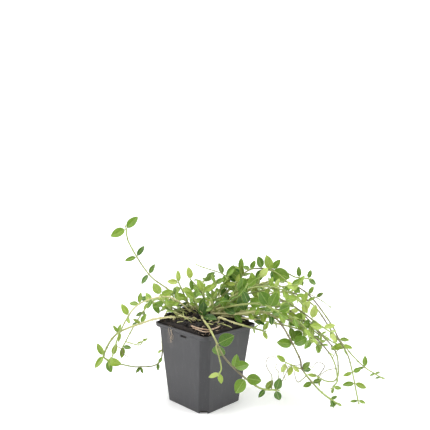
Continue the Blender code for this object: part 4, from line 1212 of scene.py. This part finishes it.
def dress_crumbs(look):
    """Loose peat crumbs and bark chips on the soil."""
    luck = random.Random("crumbs")
    skin = Skin()
    for _ in range(CRUMBS):
        size = luck.uniform(0.4, 0.9) if luck.random() < 0.66 else luck.uniform(0.9, 2.5)
        place = inside_soil(luck, 0.6 + size)
        drop_crumb(skin, place, size, (0.1, 0.6), 3, (1.0, 1.6), 1 if size < 0.8 else 2, luck)
    for _ in range(CLODS):
        size = luck.uniform(1.2, 3.2)
        x, y = (luck.gauss(*around) for around in zip(CLOD_MIDDLE, CLOD_SPREAD))
        if max(abs(x + y), abs(x - y)) > CLOD_LIMITS[0] - 2 * size or abs(x) > CLOD_LIMITS[1]:
            continue
        drop_crumb(skin, Vector((x, y, 0.0)), size, (0.2, 1.1), 2, (1.0, 1.5), 2, luck)
    for _ in range(RIM_CRUMBS):
        size = luck.uniform(0.5, 1.8)
        half = inner_side(POT_HEIGHT) / 2 - size - luck.uniform(0.0, 5.0)
        along = luck.uniform(-half, half) * 0.92
        x, y = luck.choice([(half, along), (-half, along), (along, half), (along, -half)])
        drop_crumb(skin, TURN @ Vector((x, y, 0.0)), size, (0.2, 1.3), 2, (1.0, 1.6), 2, luck)
    for _ in range(CHIPS):
        place = inside_soil(luck, 3.5)
        size = luck.uniform(0.6, 1.1)
        place.z = soil_top(place.x, place.y) + size * 0.3
        tone = (luck.uniform(0.2, 1.0), luck.random(), 1.0)
        add_chunk(skin, place, size, luck.uniform(1.8, 3.0), 2, luck, tone)
    made = skin.piece("soil_crumbs", [look])
    stand_for(made, "soil", "root_ball")


def add_fibre(skin, place, length, radius, luck, tone):
    """A thin strand lying on the soil, with its own bends."""
    bearing = luck.uniform(0, 6.3)
    path = [place.copy()]
    steps = max(4, round(length / 1.2))
    for _ in range(steps):
        bearing += luck.uniform(-0.45, 0.45)
        place = place + Vector((math.cos(bearing), math.sin(bearing), 0.0)) * (length / steps)
        path.append(place)
    inner = inner_side(POT_HEIGHT) / 2 - 0.8
    shaped = []
    for i, spot in enumerate(path):
        square = TURN.inverted() @ spot
        square.x = min(inner, max(-inner, square.x))
        square.y = min(inner, max(-inner, square.y))
        spot = TURN @ square
        arch = math.sin(math.pi * i / steps) * length * 0.06
        shaped.append(Vector((spot.x, spot.y, soil_top(spot.x, spot.y) + radius + arch)))
    radii = [radius * (1 - 0.5 * i / steps) for i in range(steps + 1)]
    add_tube(skin, shaped, radii, 5, 0, [tone] * (steps + 1))


def hang_on_wall(along, drop):
    """A place just off the front left wall, by its distance from the front corner and below the rim."""
    height = POT_HEIGHT - drop
    side = RIM_SIDE if drop < LIP_HEIGHT + STEP_HEIGHT else body_side(height)
    off = side / 2 + 0.35
    if drop <= 0:
        off = side / 2 - 1.5
    return TURN @ Vector((-off, -RIM_SIDE / 2 + along, height))


def dress_fibres(look):
    """Fine roots and bits of straw among the crumbs."""
    luck = random.Random("fibres")
    skin = Skin()
    for _ in range(FIBRES):
        tone = (luck.uniform(0.1, 0.9), luck.random(), luck.random() ** 2)
        place = inside_soil(luck, 5.0)
        add_fibre(skin, place, luck.uniform(4.0, 13.0), luck.uniform(0.1, 0.24), luck, tone)
    for _ in range(STRAWS):
        tone = (luck.uniform(0.7, 1.0), luck.random(), 0.0)
        place = inside_soil(luck, 7.0)
        add_fibre(skin, place, luck.uniform(10.0, 18.0), luck.uniform(0.3, 0.5), luck, tone)
    for hair in WALL_HAIRS:
        path = fine_path([hang_on_wall(along, drop) for along, drop in hair], 0.9)
        path = [place + noise.noise_vector(place * 0.5) * 0.5 for place in path]
        tones = [(1.4, 0.5, 0.0)] * len(path)
        add_tube(skin, path, [0.2 - 0.08 * i / len(path) for i in range(len(path))], 5, 0, tones)
    made = skin.piece("soil_fibres", [look])
    stand_for(made, "root_tan", "root_ball")


def dress_root(root, look):
    """A bare root on the soil, uneven, with rootlets off its sides."""
    luck = random.Random(root.name + " looks")
    skin = Skin()
    path = fine_path(root.path, 0.9)
    if root.name in OVER_RIM:
        path = [place + OVER_RIM_SHIFT for place in path]
    last = len(path) - 1
    radii = []
    for i, place in enumerate(path):
        ends = min(1.0, 0.35 + i / 5, 0.25 + (last - i) / 8)
        radii.append(root.radius * 0.85 * ends * (1 + 0.25 * noise.noise(place * 0.5)))
        path[i] = place + noise.noise_vector(place * 0.25) * 0.25
    tones = [(0.6 + 0.3 * noise.noise(place * 0.4), 0.5, 0.0) for place in path]
    add_tube(skin, path, radii, 8, 0, tones)
    for i in range(3, last - 2, 4):
        tone = (luck.uniform(0.4, 0.9), luck.random(), 0.0)
        add_fibre(skin, path[i].copy(), luck.uniform(4.0, 9.0), luck.uniform(0.14, 0.26), luck, tone)
    made = skin.piece(root.name + "_look", [look])
    stand_for(made, "root_tan", root.name)


def dress_stubs(look):
    """Short bare stems, straw-coloured, where old growth has died back."""
    luck = random.Random("stubs")
    skin = Skin()
    for _ in range(STUBS):
        place = Vector((luck.uniform(-28, 40), luck.uniform(-34, 12), 0.0))
        if abs(place.x) + abs(place.y) > 48:
            continue
        outward = Vector((place.x - 2, place.y * 0.4, 0.0)).normalized()
        lean = outward + Vector((luck.uniform(-0.3, 0.6), luck.uniform(-0.5, 0.5), luck.uniform(0.15, 1.1)))
        lean.normalize()
        length = luck.uniform(8.0, 26.0)
        place.z = soil_top(place.x, place.y) - 1.5
        sag = Vector((luck.uniform(-0.3, 0.3), luck.uniform(-0.3, 0.3), -0.22)) * length
        path = [place + lean * (length * k / 5) + sag * (k / 5) ** 2 for k in range(6)]
        for spot in path[2:]:
            spot.z = max(spot.z, soil_top(spot.x, spot.y) + 0.8, POT_HEIGHT + 0.9)
        path = fine_path(path, 1.2)
        thick = luck.uniform(0.35, 0.7)
        radii = [thick * (1 - 0.3 * i / len(path)) for i in range(len(path))]
        tones = [(luck.uniform(0.45, 1.0), 0.5, luck.uniform(0.0, 0.5))] * len(path)
        add_tube(skin, path, radii, 6, 0, tones)
    made = skin.piece("old_stems", [look])
    stand_for(made, "leaf_mid", "root_ball")


# ---------------------------------------------------------------- pot

def arc(centre, radius, start, turn, steps):
    """Points of an arc in the +X +Y corner, angles in degrees."""
    angles = [math.radians(start + turn * k / steps) for k in range(steps + 1)]
    return [(centre[0] + radius * math.cos(a), centre[1] + radius * math.sin(a)) for a in angles]


def soft_cut_outline(side, cut, ease):
    """The flat-cornered outline, each of a corner's two edges rounded by five points."""
    half = side / 2
    bend = ease * math.tan(math.radians(22.5))
    first = (half - ease, half - cut - bend)
    second = (half - cut - bend, half - ease)
    return four_corners(arc(first, ease, 0, 45, 4) + arc(second, ease, 45, 45, 4))


def soft_round_outline(side, radius):
    centre = side / 2 - radius
    return four_corners(arc((centre, centre), radius, 0, 90, 9))


def pot_rings():
    """Outlines from the foot's underside, up the outside, over the lip and down the inside."""
    under_lip = POT_HEIGHT - LIP_HEIGHT
    shoulder = under_lip - STEP_HEIGHT
    lip_inner = RIM_SIDE - 2 * LIP_WALL
    inner_step = under_lip + WALL
    ease = 2.2
    inner_cut = CORNER_CUT - WALL / 2
    return [
        (soft_cut_outline(FOOT_SIDE - 1.4, CORNER_CUT, ease), 0.0),
        (soft_cut_outline(FOOT_SIDE - 0.5, CORNER_CUT, ease), 0.2),
        (soft_cut_outline(FOOT_SIDE, CORNER_CUT, ease), 0.8),
        (soft_cut_outline(body_side(30.0), CORNER_CUT, ease), 30.0),
        (soft_cut_outline(body_side(60.0), CORNER_CUT, ease), 60.0),
        (soft_cut_outline(SHOULDER_SIDE, CORNER_CUT, ease), shoulder),
        (soft_round_outline(SHOULDER_SIDE + 1.0, RIM_CORNER_RADIUS), shoulder + 0.35),
        (soft_round_outline(RIM_SIDE - 1.6, RIM_CORNER_RADIUS), under_lip - 0.15),
        (soft_round_outline(RIM_SIDE - 1.0, RIM_CORNER_RADIUS), under_lip + 0.25),
        (soft_round_outline(RIM_SIDE - 0.1, RIM_CORNER_RADIUS), POT_HEIGHT - 0.9),
        (soft_round_outline(RIM_SIDE, RIM_CORNER_RADIUS), POT_HEIGHT - 0.45),
        (soft_round_outline(RIM_SIDE - 0.3, RIM_CORNER_RADIUS), POT_HEIGHT - 0.1),
        (soft_round_outline(RIM_SIDE - 0.9, RIM_CORNER_RADIUS), POT_HEIGHT),
        (soft_round_outline(lip_inner + 0.7, RIM_CORNER_RADIUS - LIP_WALL), POT_HEIGHT),
        (soft_round_outline(lip_inner + 0.1, RIM_CORNER_RADIUS - LIP_WALL), POT_HEIGHT - 0.15),
        (soft_round_outline(lip_inner - 0.1, RIM_CORNER_RADIUS - LIP_WALL), POT_HEIGHT - 0.6),
        (soft_round_outline(lip_inner - 1.0, RIM_CORNER_RADIUS - LIP_WALL), inner_step + STEP_HEIGHT),
        (soft_cut_outline(body_side(shoulder) - 2 * WALL, inner_cut, ease), inner_step - STEP_HEIGHT),
        (soft_cut_outline(body_side(BASE_THICKNESS) - 2 * WALL, inner_cut, ease), BASE_THICKNESS),
    ]


def box_into(bm, size, place):
    bmesh.ops.create_cube(bm, size=1.0, matrix=place @ Matrix.Diagonal((*size, 1.0)))


def pot_cutter():
    """Label slot, corner notches and drain holes, where the model has them."""
    bm = bmesh.new()
    turn = TURN.to_4x4()
    slot_width, slot_height = SLOT_SIZE
    along = RIM_SIDE / 2 - SLOT_TO_CORNER
    slot = Matrix.Translation((-RIM_SIDE / 2, -along, POT_HEIGHT - SLOT_BELOW_RIM))
    box_into(bm, (4 * LIP_HEIGHT, slot_width, slot_height), turn @ slot)
    foot_corner = FOOT_SIDE / math.sqrt(2) - CORNER_CUT / math.sqrt(2)
    for quarter in range(4):
        spin = Matrix.Rotation(math.radians(90.0 * quarter), 4, "Z")
        notch = Matrix.Translation((foot_corner, 0.0, 0.0))
        box_into(bm, (2 * NOTCH_DEPTH, NOTCH_WIDTH, 2 * NOTCH_HEIGHT), spin @ notch)
        hole = Matrix.Translation((DRAIN_OFFSET, 0.0, 0.0))
        bmesh.ops.create_cone(
            bm, cap_ends=True, segments=40, radius1=DRAIN_RADIUS, radius2=DRAIN_RADIUS,
            depth=4 * BASE_THICKNESS, matrix=turn @ spin @ hole)
    return bm


def dress_pot(look):
    bm = bmesh.new()
    rings = [[bm.verts.new((p.x, p.y, height)) for p in outline] for outline, height in pot_rings()]
    for low, high in zip(rings, rings[1:]):
        for k in range(len(low)):
            m = (k + 1) % len(low)
            bm.faces.new((low[k], low[m], high[m], high[k]))
    bm.faces.new(list(reversed(rings[0])))
    bm.faces.new(rings[-1])
    shell = bpy.data.objects.new("pot_shell", mesh_in_metres(bm, "pot_shell"))
    cutter = bpy.data.objects.new("pot_cutter", mesh_in_metres(pot_cutter(), "pot_cutter"))
    for made in (shell, cutter):
        bpy.context.scene.collection.objects.link(made)
    cut = shell.modifiers.new("cut", "BOOLEAN")
    cut.operation = "DIFFERENCE"
    cut.object = cutter
    ease = shell.modifiers.new("ease", "BEVEL")
    ease.width = 0.00025
    ease.segments = 2
    ease.limit_method = "ANGLE"
    ease.angle_limit = math.radians(50)
    bpy.context.view_layer.update()
    seen = shell.evaluated_get(bpy.context.evaluated_depsgraph_get())
    mesh = bpy.data.meshes.new_from_object(seen)
    mesh.name = "pot_look"
    bpy.data.objects.remove(shell)
    bpy.data.objects.remove(cutter)
    made = link_piece("pot_look", mesh, [look])
    made.data.set_sharp_from_angle(angle=math.radians(28))
    stand_for(made, "pot_plastic", "pot")


# ---------------------------------------------------------------- materials

def give(tree, socket, value):
    """Links the socket to another node's output, or sets it to a plain value."""
    if isinstance(value, bpy.types.NodeSocket):
        tree.links.new(value, socket)
    else:
        socket.default_value = value


def node(tree, kind, inputs=None, **settings):
    made = tree.nodes.new("ShaderNode" + kind)
    for key, value in settings.items():
        setattr(made, key, value)
    for key, value in (inputs or {}).items():
        give(tree, made.inputs[key], value)
    return made


def maths(tree, operation, a, b=0.0):
    return node(tree, "Math", {0: a, 1: b}, operation=operation).outputs[0]


def varied(tree, base, value, amount):
    """The base, raised or lowered by up to half the amount as the value goes from 0 to 1."""
    swing = maths(tree, "MULTIPLY", maths(tree, "SUBTRACT", value, 0.5), amount)
    return maths(tree, "ADD", base, swing)


def between(tree, value, low, high, out_low=0.0, out_high=1.0):
    """A smooth step from out_low to out_high as the value goes from low to high."""
    inputs = {"Value": value, "From Min": low, "From Max": high, "To Min": out_low, "To Max": out_high}
    return node(tree, "MapRange", inputs, interpolation_type="SMOOTHSTEP").outputs[0]


def mixed(tree, factor, a, b, blend="MIX"):
    made = node(tree, "Mix", None, data_type="RGBA", blend_type=blend)
    for key, value in ((0, factor), (6, a), (7, b)):
        give(tree, made.inputs[key], (*value, 1.0) if isinstance(value, tuple) else value)
    return made.outputs[2]


def ramp(tree, value, stops):
    made = node(tree, "ValToRGB", {"Fac": value})
    band = made.color_ramp
    while len(band.elements) < len(stops):
        band.elements.new(0.5)
    for element, (place, colour) in zip(band.elements, stops):
        element.position = place
        element.color = (*colour, 1.0)
    return made.outputs[0]


def pattern(tree, place, scale, detail=3.0, roughness=0.5):
    inputs = {"Vector": place, "Scale": scale, "Detail": detail, "Roughness": roughness}
    return node(tree, "TexNoise", inputs).outputs[0]


def object_place(tree):
    return node(tree, "TexCoord").outputs["Object"]


def parts_of(tree, name):
    """The three numbers of an attribute."""
    held = node(tree, "Attribute", None, attribute_name=name).outputs["Vector"]
    return node(tree, "SeparateXYZ", {0: held}).outputs


def stretched_spot(tree, stretch):
    """The place on a tube's skin, scaled round it and along it."""
    held = node(tree, "Attribute", None, attribute_name="spot").outputs["Vector"]
    return node(tree, "VectorMath", {0: held, 1: stretch}, operation="MULTIPLY").outputs[0]


def bumped(tree, height, distance, strength=1.0):
    inputs = {"Height": height, "Distance": distance, "Strength": strength}
    return node(tree, "Bump", inputs).outputs[0]


def new_look(name):
    made = bpy.data.materials.new(name)
    made.use_nodes = True
    return made, made.node_tree, made.node_tree.nodes["Principled BSDF"]


def feed(tree, shader, **sockets):
    for label, value in sockets.items():
        give(tree, shader.inputs[label.replace("_", " ")], value)


def leaf_look():
    """A waxy blade: pale midrib and side veins, darker with age, paler underneath."""
    made, tree, shader = new_look("periwinkle_leaf")
    across, along, upper = parts_of(tree, "spot")
    age, luck, edge = parts_of(tree, "tone")
    place = object_place(tree)
    off_middle = maths(tree, "ABSOLUTE", across)
    midrib = between(tree, off_middle, 0.12, 0.42, 1.0, 0.0)
    lean = maths(tree, "SUBTRACT", along, maths(tree, "MULTIPLY", off_middle, 0.8))
    cell = maths(tree, "FRACT", maths(tree, "DIVIDE", lean, 1.75))
    off_vein = maths(tree, "ABSOLUTE", maths(tree, "SUBTRACT", cell, 0.5))
    side_vein = between(tree, off_vein, 0.02, 0.1, 1.0, 0.0)
    side_vein = maths(tree, "MULTIPLY", side_vein, between(tree, edge, 0.6, 0.95, 1.0, 0.0))
    veins = maths(tree, "MAXIMUM", midrib, maths(tree, "MULTIPLY", side_vein, 0.55))
    mottle = pattern(tree, place, 420.0, 4.0)
    shade = varied(tree, age, mottle, 0.35)
    green = ramp(tree, shade, [
        (0.0, (0.52, 0.62, 0.19)),
        (0.3, (0.30, 0.42, 0.06)),
        (0.6, (0.145, 0.265, 0.028)),
        (1.0, (0.05, 0.13, 0.02)),
    ])
    warm = mixed(tree, between(tree, luck, 0.55, 1.0, 0.0, 0.35), green, (0.34, 0.37, 0.05))
    veined = mixed(tree, maths(tree, "MULTIPLY", veins, 0.42), warm, (0.50, 0.60, 0.20))
    rimmed = mixed(tree, between(tree, edge, 0.9, 1.0, 0.0, 0.3), veined, (0.46, 0.56, 0.19))
    scar = between(tree, pattern(tree, place, 190.0, 2.0), 0.66, 0.72)
    scar = maths(tree, "MULTIPLY", scar, between(tree, edge, 0.35, 0.9))
    scar = maths(tree, "MULTIPLY", scar, between(tree, age, 0.35, 0.8))
    worn = mixed(tree, maths(tree, "MULTIPLY", scar, 0.7), rimmed, (0.26, 0.19, 0.07))
    pale = mixed(tree, 0.5, worn, (0.40, 0.50, 0.22))
    colour = mixed(tree, upper, pale, worn)
    gloss = between(tree, pattern(tree, place, 900.0, 2.0), 0.3, 0.7, 0.26, 0.38)
    matt = maths(tree, "ADD", gloss, maths(tree, "MULTIPLY", maths(tree, "SUBTRACT", 1.0, upper), 0.25))
    grain = maths(tree, "MULTIPLY", pattern(tree, place, 2600.0, 2.0), 0.25)
    relief = maths(tree, "SUBTRACT", grain, veins)
    feed(tree, shader, Base_Color=colour, Roughness=matt, Normal=bumped(tree, relief, 0.00012, 0.8))
    feed(tree, shader, Subsurface_Weight=0.12, Subsurface_Scale=0.0012, Specular_IOR_Level=0.3)
    feed(tree, shader, Subsurface_Radius=(0.7, 1.0, 0.25))
    return made


def stem_look():
    """Green at the tip, straw-coloured with age, and dusky purple where the third tone says so."""
    made, tree, shader = new_look("periwinkle_stem")
    tone = parts_of(tree, "tone")
    streaks = pattern(tree, stretched_spot(tree, (2.2, 2.2, 0.22)), 1.6, 3.0)
    patches = pattern(tree, object_place(tree), 60.0, 2.0)
    age = varied(tree, tone[0], streaks, 0.25)
    colour = ramp(tree, age, [
        (0.0, (0.34, 0.44, 0.11)),
        (0.3, (0.32, 0.40, 0.11)),
        (0.65, (0.46, 0.50, 0.17)),
        (1.0, (0.66, 0.62, 0.32)),
    ])
    dusky = maths(tree, "MULTIPLY", tone[2], between(tree, patches, 0.3, 0.6, 0.15, 0.85))
    dusky = maths(tree, "MULTIPLY", dusky, between(tree, tone[0], 0.08, 0.3))
    dusky = maths(tree, "MULTIPLY", dusky, between(tree, tone[0], 0.55, 0.8, 1.0, 0.1))
    colour = mixed(tree, dusky, colour, (0.15, 0.11, 0.085))
    colour = mixed(tree, between(tree, streaks, 0.55, 0.8, 0.0, 0.4), colour, (0.26, 0.21, 0.11))
    feed(tree, shader, Base_Color=colour, Roughness=between(tree, patches, 0.2, 0.8, 0.42, 0.65))
    feed(tree, shader, Normal=bumped(tree, streaks, 0.00015, 0.6))
    return made


def soil_look():
    """Dark moist peat, with paler fine crumbs."""
    made, tree, shader = new_look("peat_soil")
    place = object_place(tree)
    broad = pattern(tree, place, 170.0, 4.0, 0.6)
    fine = pattern(tree, place, 1100.0, 4.0, 0.7)
    colour = ramp(tree, broad, [
        (0.3, (0.006, 0.0045, 0.004)),
        (0.5, (0.013, 0.009, 0.007)),
        (0.72, (0.032, 0.022, 0.016)),
    ])
    colour = mixed(tree, between(tree, fine, 0.58, 0.72, 0.0, 0.5), colour, (0.075, 0.05, 0.032))
    lumps = maths(tree, "ADD", maths(tree, "MULTIPLY", broad, 0.8), fine)
    feed(tree, shader, Base_Color=colour, Roughness=between(tree, fine, 0.3, 0.7, 0.8, 0.98))
    feed(tree, shader, Normal=bumped(tree, lumps, 0.0007, 1.0))
    return made


def crumb_look():
    """Loose crumbs: peat, or bark where the third tone says so."""
    made, tree, shader = new_look("peat_crumbs")
    tone = parts_of(tree, "tone")
    fine = pattern(tree, object_place(tree), 1500.0, 4.0, 0.7)
    shade = varied(tree, tone[0], fine, 0.5)
    peat = ramp(tree, shade, [
        (0.0, (0.006, 0.0045, 0.004)),
        (0.55, (0.017, 0.012, 0.009)),
        (1.0, (0.08, 0.053, 0.032)),
    ])
    bark = ramp(tree, shade, [(0.2, (0.035, 0.021, 0.014)), (1.0, (0.17, 0.11, 0.065))])
    colour = mixed(tree, tone[2], peat, bark)
    feed(tree, shader, Base_Color=colour, Roughness=between(tree, fine, 0.3, 0.7, 0.75, 0.95))
    feed(tree, shader, Normal=bumped(tree, fine, 0.0003, 1.0))
    return made


def root_look():
    """Tan root skin, darker in streaks and where soil clings to it."""
    made, tree, shader = new_look("bare_root")
    tone = parts_of(tree, "tone")
    streaks = pattern(tree, stretched_spot(tree, (2.0, 2.0, 0.35)), 1.5, 4.0, 0.6)
    shade = varied(tree, tone[0], streaks, 0.6)
    colour = ramp(tree, shade, [
        (0.1, (0.14, 0.085, 0.05)),
        (0.5, (0.42, 0.28, 0.18)),
        (0.9, (0.72, 0.58, 0.43)),
    ])
    colour = mixed(tree, maths(tree, "MULTIPLY", tone[2], 0.7), colour, (0.07, 0.045, 0.03))
    soiled = between(tree, pattern(tree, object_place(tree), 500.0, 3.0), 0.55, 0.7, 0.0, 0.6)
    colour = mixed(tree, soiled, colour, (0.05, 0.034, 0.024))
    feed(tree, shader, Base_Color=colour, Roughness=between(tree, streaks, 0.3, 0.7, 0.65, 0.85))
    feed(tree, shader, Normal=bumped(tree, streaks, 0.0003, 0.9))
    return made


def pot_look():
    """Matt plastic with a mould grain, dust near the foot and a smear of soil below the lip."""
    made, tree, shader = new_look("pot_plastic_matt")
    place = object_place(tree)
    apart = node(tree, "SeparateXYZ", {0: place}).outputs
    grain = pattern(tree, place, 2400.0, 2.0)
    cloud = pattern(tree, place, 45.0, 3.0)
    flow = node(tree, "VectorMath", {0: place, 1: (1.0, 1.0, 0.12)}, operation="MULTIPLY").outputs[0]
    streaks = pattern(tree, flow, 260.0, 3.0)
    colour = ramp(tree, cloud, [(0.3, (0.035, 0.035, 0.039)), (0.7, (0.044, 0.044, 0.048))])
    colour = mixed(tree, between(tree, streaks, 0.5, 0.8, 0.0, 0.25), colour, (0.09, 0.09, 0.093))
    specks = between(tree, pattern(tree, place, 1300.0, 2.0), 0.68, 0.74)
    low = between(tree, apart[2], 0.0, 0.09, 0.55, 0.15)
    dusty = maths(tree, "MULTIPLY", specks, low)
    colour = mixed(tree, dusty, colour, (0.24, 0.22, 0.19))
    away = node(tree, "VectorMath", {0: place, 1: SMEAR_PLACE}, operation="SUBTRACT").outputs[0]
    away = node(tree, "VectorMath", {0: away, 1: (1.0, 1.0, 0.45)}, operation="MULTIPLY").outputs[0]
    near = node(tree, "VectorMath", {0: away}, operation="LENGTH").outputs["Value"]
    ragged = maths(tree, "ADD", near, maths(tree, "MULTIPLY", pattern(tree, place, 300.0, 4.0, 0.7), -0.011))
    smear = between(tree, ragged, -0.003, 0.002, 0.5, 0.0)
    colour = mixed(tree, smear, colour, (0.13, 0.12, 0.11))
    top = between(tree, apart[2], 0.0925, 0.0948)
    crumbly = between(tree, pattern(tree, place, 230.0, 4.0, 0.7), 0.45, 0.62, 0.0, 0.6)
    soiled = maths(tree, "MULTIPLY", top, crumbly)
    colour = mixed(tree, soiled, colour, (0.045, 0.034, 0.026))
    rough = between(tree, cloud, 0.3, 0.7, 0.48, 0.6)
    rough = maths(tree, "ADD", rough, maths(tree, "MULTIPLY", maths(tree, "ADD", smear, dusty), 0.25))
    height = maths(tree, "ADD", grain, maths(tree, "MULTIPLY", smear, pattern(tree, place, 900.0, 3.0)))
    feed(tree, shader, Base_Color=colour, Roughness=rough, Normal=bumped(tree, height, 0.00008, 0.7))
    return made


# ---------------------------------------------------------------- stage

def floor_look():
    made, tree, shader = new_look("studio_paper")
    faint = pattern(tree, object_place(tree), 6.0, 3.0)
    colour = ramp(tree, faint, [(0.3, (0.93, 0.93, 0.935)), (0.7, (0.95, 0.95, 0.95))])
    apart = node(tree, "SeparateXYZ", {0: object_place(tree)}).outputs
    # Painted light: the paper glows faintly near the pot and more brightly further back. The glow whitens
    # the backdrop, fills the shadow round the pot and lights the plant from below.
    painted_glow = between(tree, apart[1], 0.1, 1.2, 0.18, 0.6)
    feed(tree, shader, Base_Color=colour, Roughness=0.75)
    feed(tree, shader, Emission_Strength=painted_glow, Emission_Color=(1.0, 1.0, 1.0, 1.0))
    return made


def make_stage():
    """A paper sweep: level under the pot, curving up far behind it."""
    bend, radius = SWEEP_BEND, SWEEP_RADIUS
    turns = np.linspace(0.1, math.pi / 2, 14)
    profile = [(SWEEP_FRONT, 0.0), (bend, 0.0)]
    profile += [(bend + radius * math.sin(a), radius - radius * math.cos(a)) for a in turns]
    profile += [(bend + radius, SWEEP_TOP)]
    points = [(x, y, z) for y, z in profile for x in (-SWEEP_HALF_WIDTH, SWEEP_HALF_WIDTH)]
    faces = [(2 * i, 2 * i + 1, 2 * i + 3, 2 * i + 2) for i in range(len(profile) - 1)]
    mesh = bpy.data.meshes.new("paper_sweep")
    mesh.from_pydata(points, [], faces)
    mesh.materials.append(floor_look())
    mesh.shade_smooth()
    made = bpy.data.objects.new("paper_sweep", mesh)
    bpy.context.scene.collection.objects.link(made)


def make_lamp(name, place, size, power):
    data = bpy.data.lights.new(name, "AREA")
    data.shape = "RECTANGLE"
    data.size, data.size_y = size
    data.energy = power
    made = bpy.data.objects.new(name, data)
    made.location = place
    made.rotation_euler = (Vector(LIT_MIDDLE) - Vector(place)).to_track_quat("-Z", "Y").to_euler()
    bpy.context.scene.collection.objects.link(made)


def make_light():
    """Three soft boxes in a faintly lit white room."""
    world = bpy.data.worlds.new("studio")
    world.use_nodes = True
    room = world.node_tree.nodes["Background"]
    room.inputs["Color"].default_value = (1.0, 1.0, 1.0, 1.0)
    room.inputs["Strength"].default_value = ROOM_LIGHT
    bpy.context.scene.world = world
    for name, (place, size, power) in LAMPS.items():
        make_lamp(name, place, size, power)
    bpy.context.scene.view_settings.view_transform = "Standard"


def make_camera():
    data = bpy.data.cameras.new("camera")
    data.sensor_width = 36.0
    data.lens = CAMERA_LENS
    made = bpy.data.objects.new("camera", data)
    yaw = Matrix.Rotation(math.radians(CAMERA_YAW), 4, "Z")
    pitch = Matrix.Rotation(math.radians(CAMERA_PITCH), 4, "X")
    roll = Matrix.Rotation(math.radians(CAMERA_ROLL), 4, "Z")
    made.matrix_world = Matrix.Translation(CAMERA_PLACE) @ yaw @ pitch @ roll
    bpy.context.scene.collection.objects.link(made)
    bpy.context.scene.camera = made


# ---------------------------------------------------------------- assembly

def dress_plant():
    plug = soil_plug()
    soil = tree_of(plug)
    plug.free()
    roots = lay_roots(soil)
    stems = start_stems(soil)
    settle({**stems, **roots}, soil)
    grow_leaves({**stems, **roots}, soil)
    materials = [leaf_look(), stem_look()]
    for stem in stems.values():
        dress_runner(stem, stems, materials)
    bare = root_look()
    for root in roots.values():
        dress_root(root, bare)
    dress_fibres(bare)
    dress_stubs(materials[STEM_LOOK])


make_camera()
make_light()
make_stage()
dress_pot(pot_look())
dress_soil(soil_look())
dress_crumbs(crumb_look())
dress_plant()
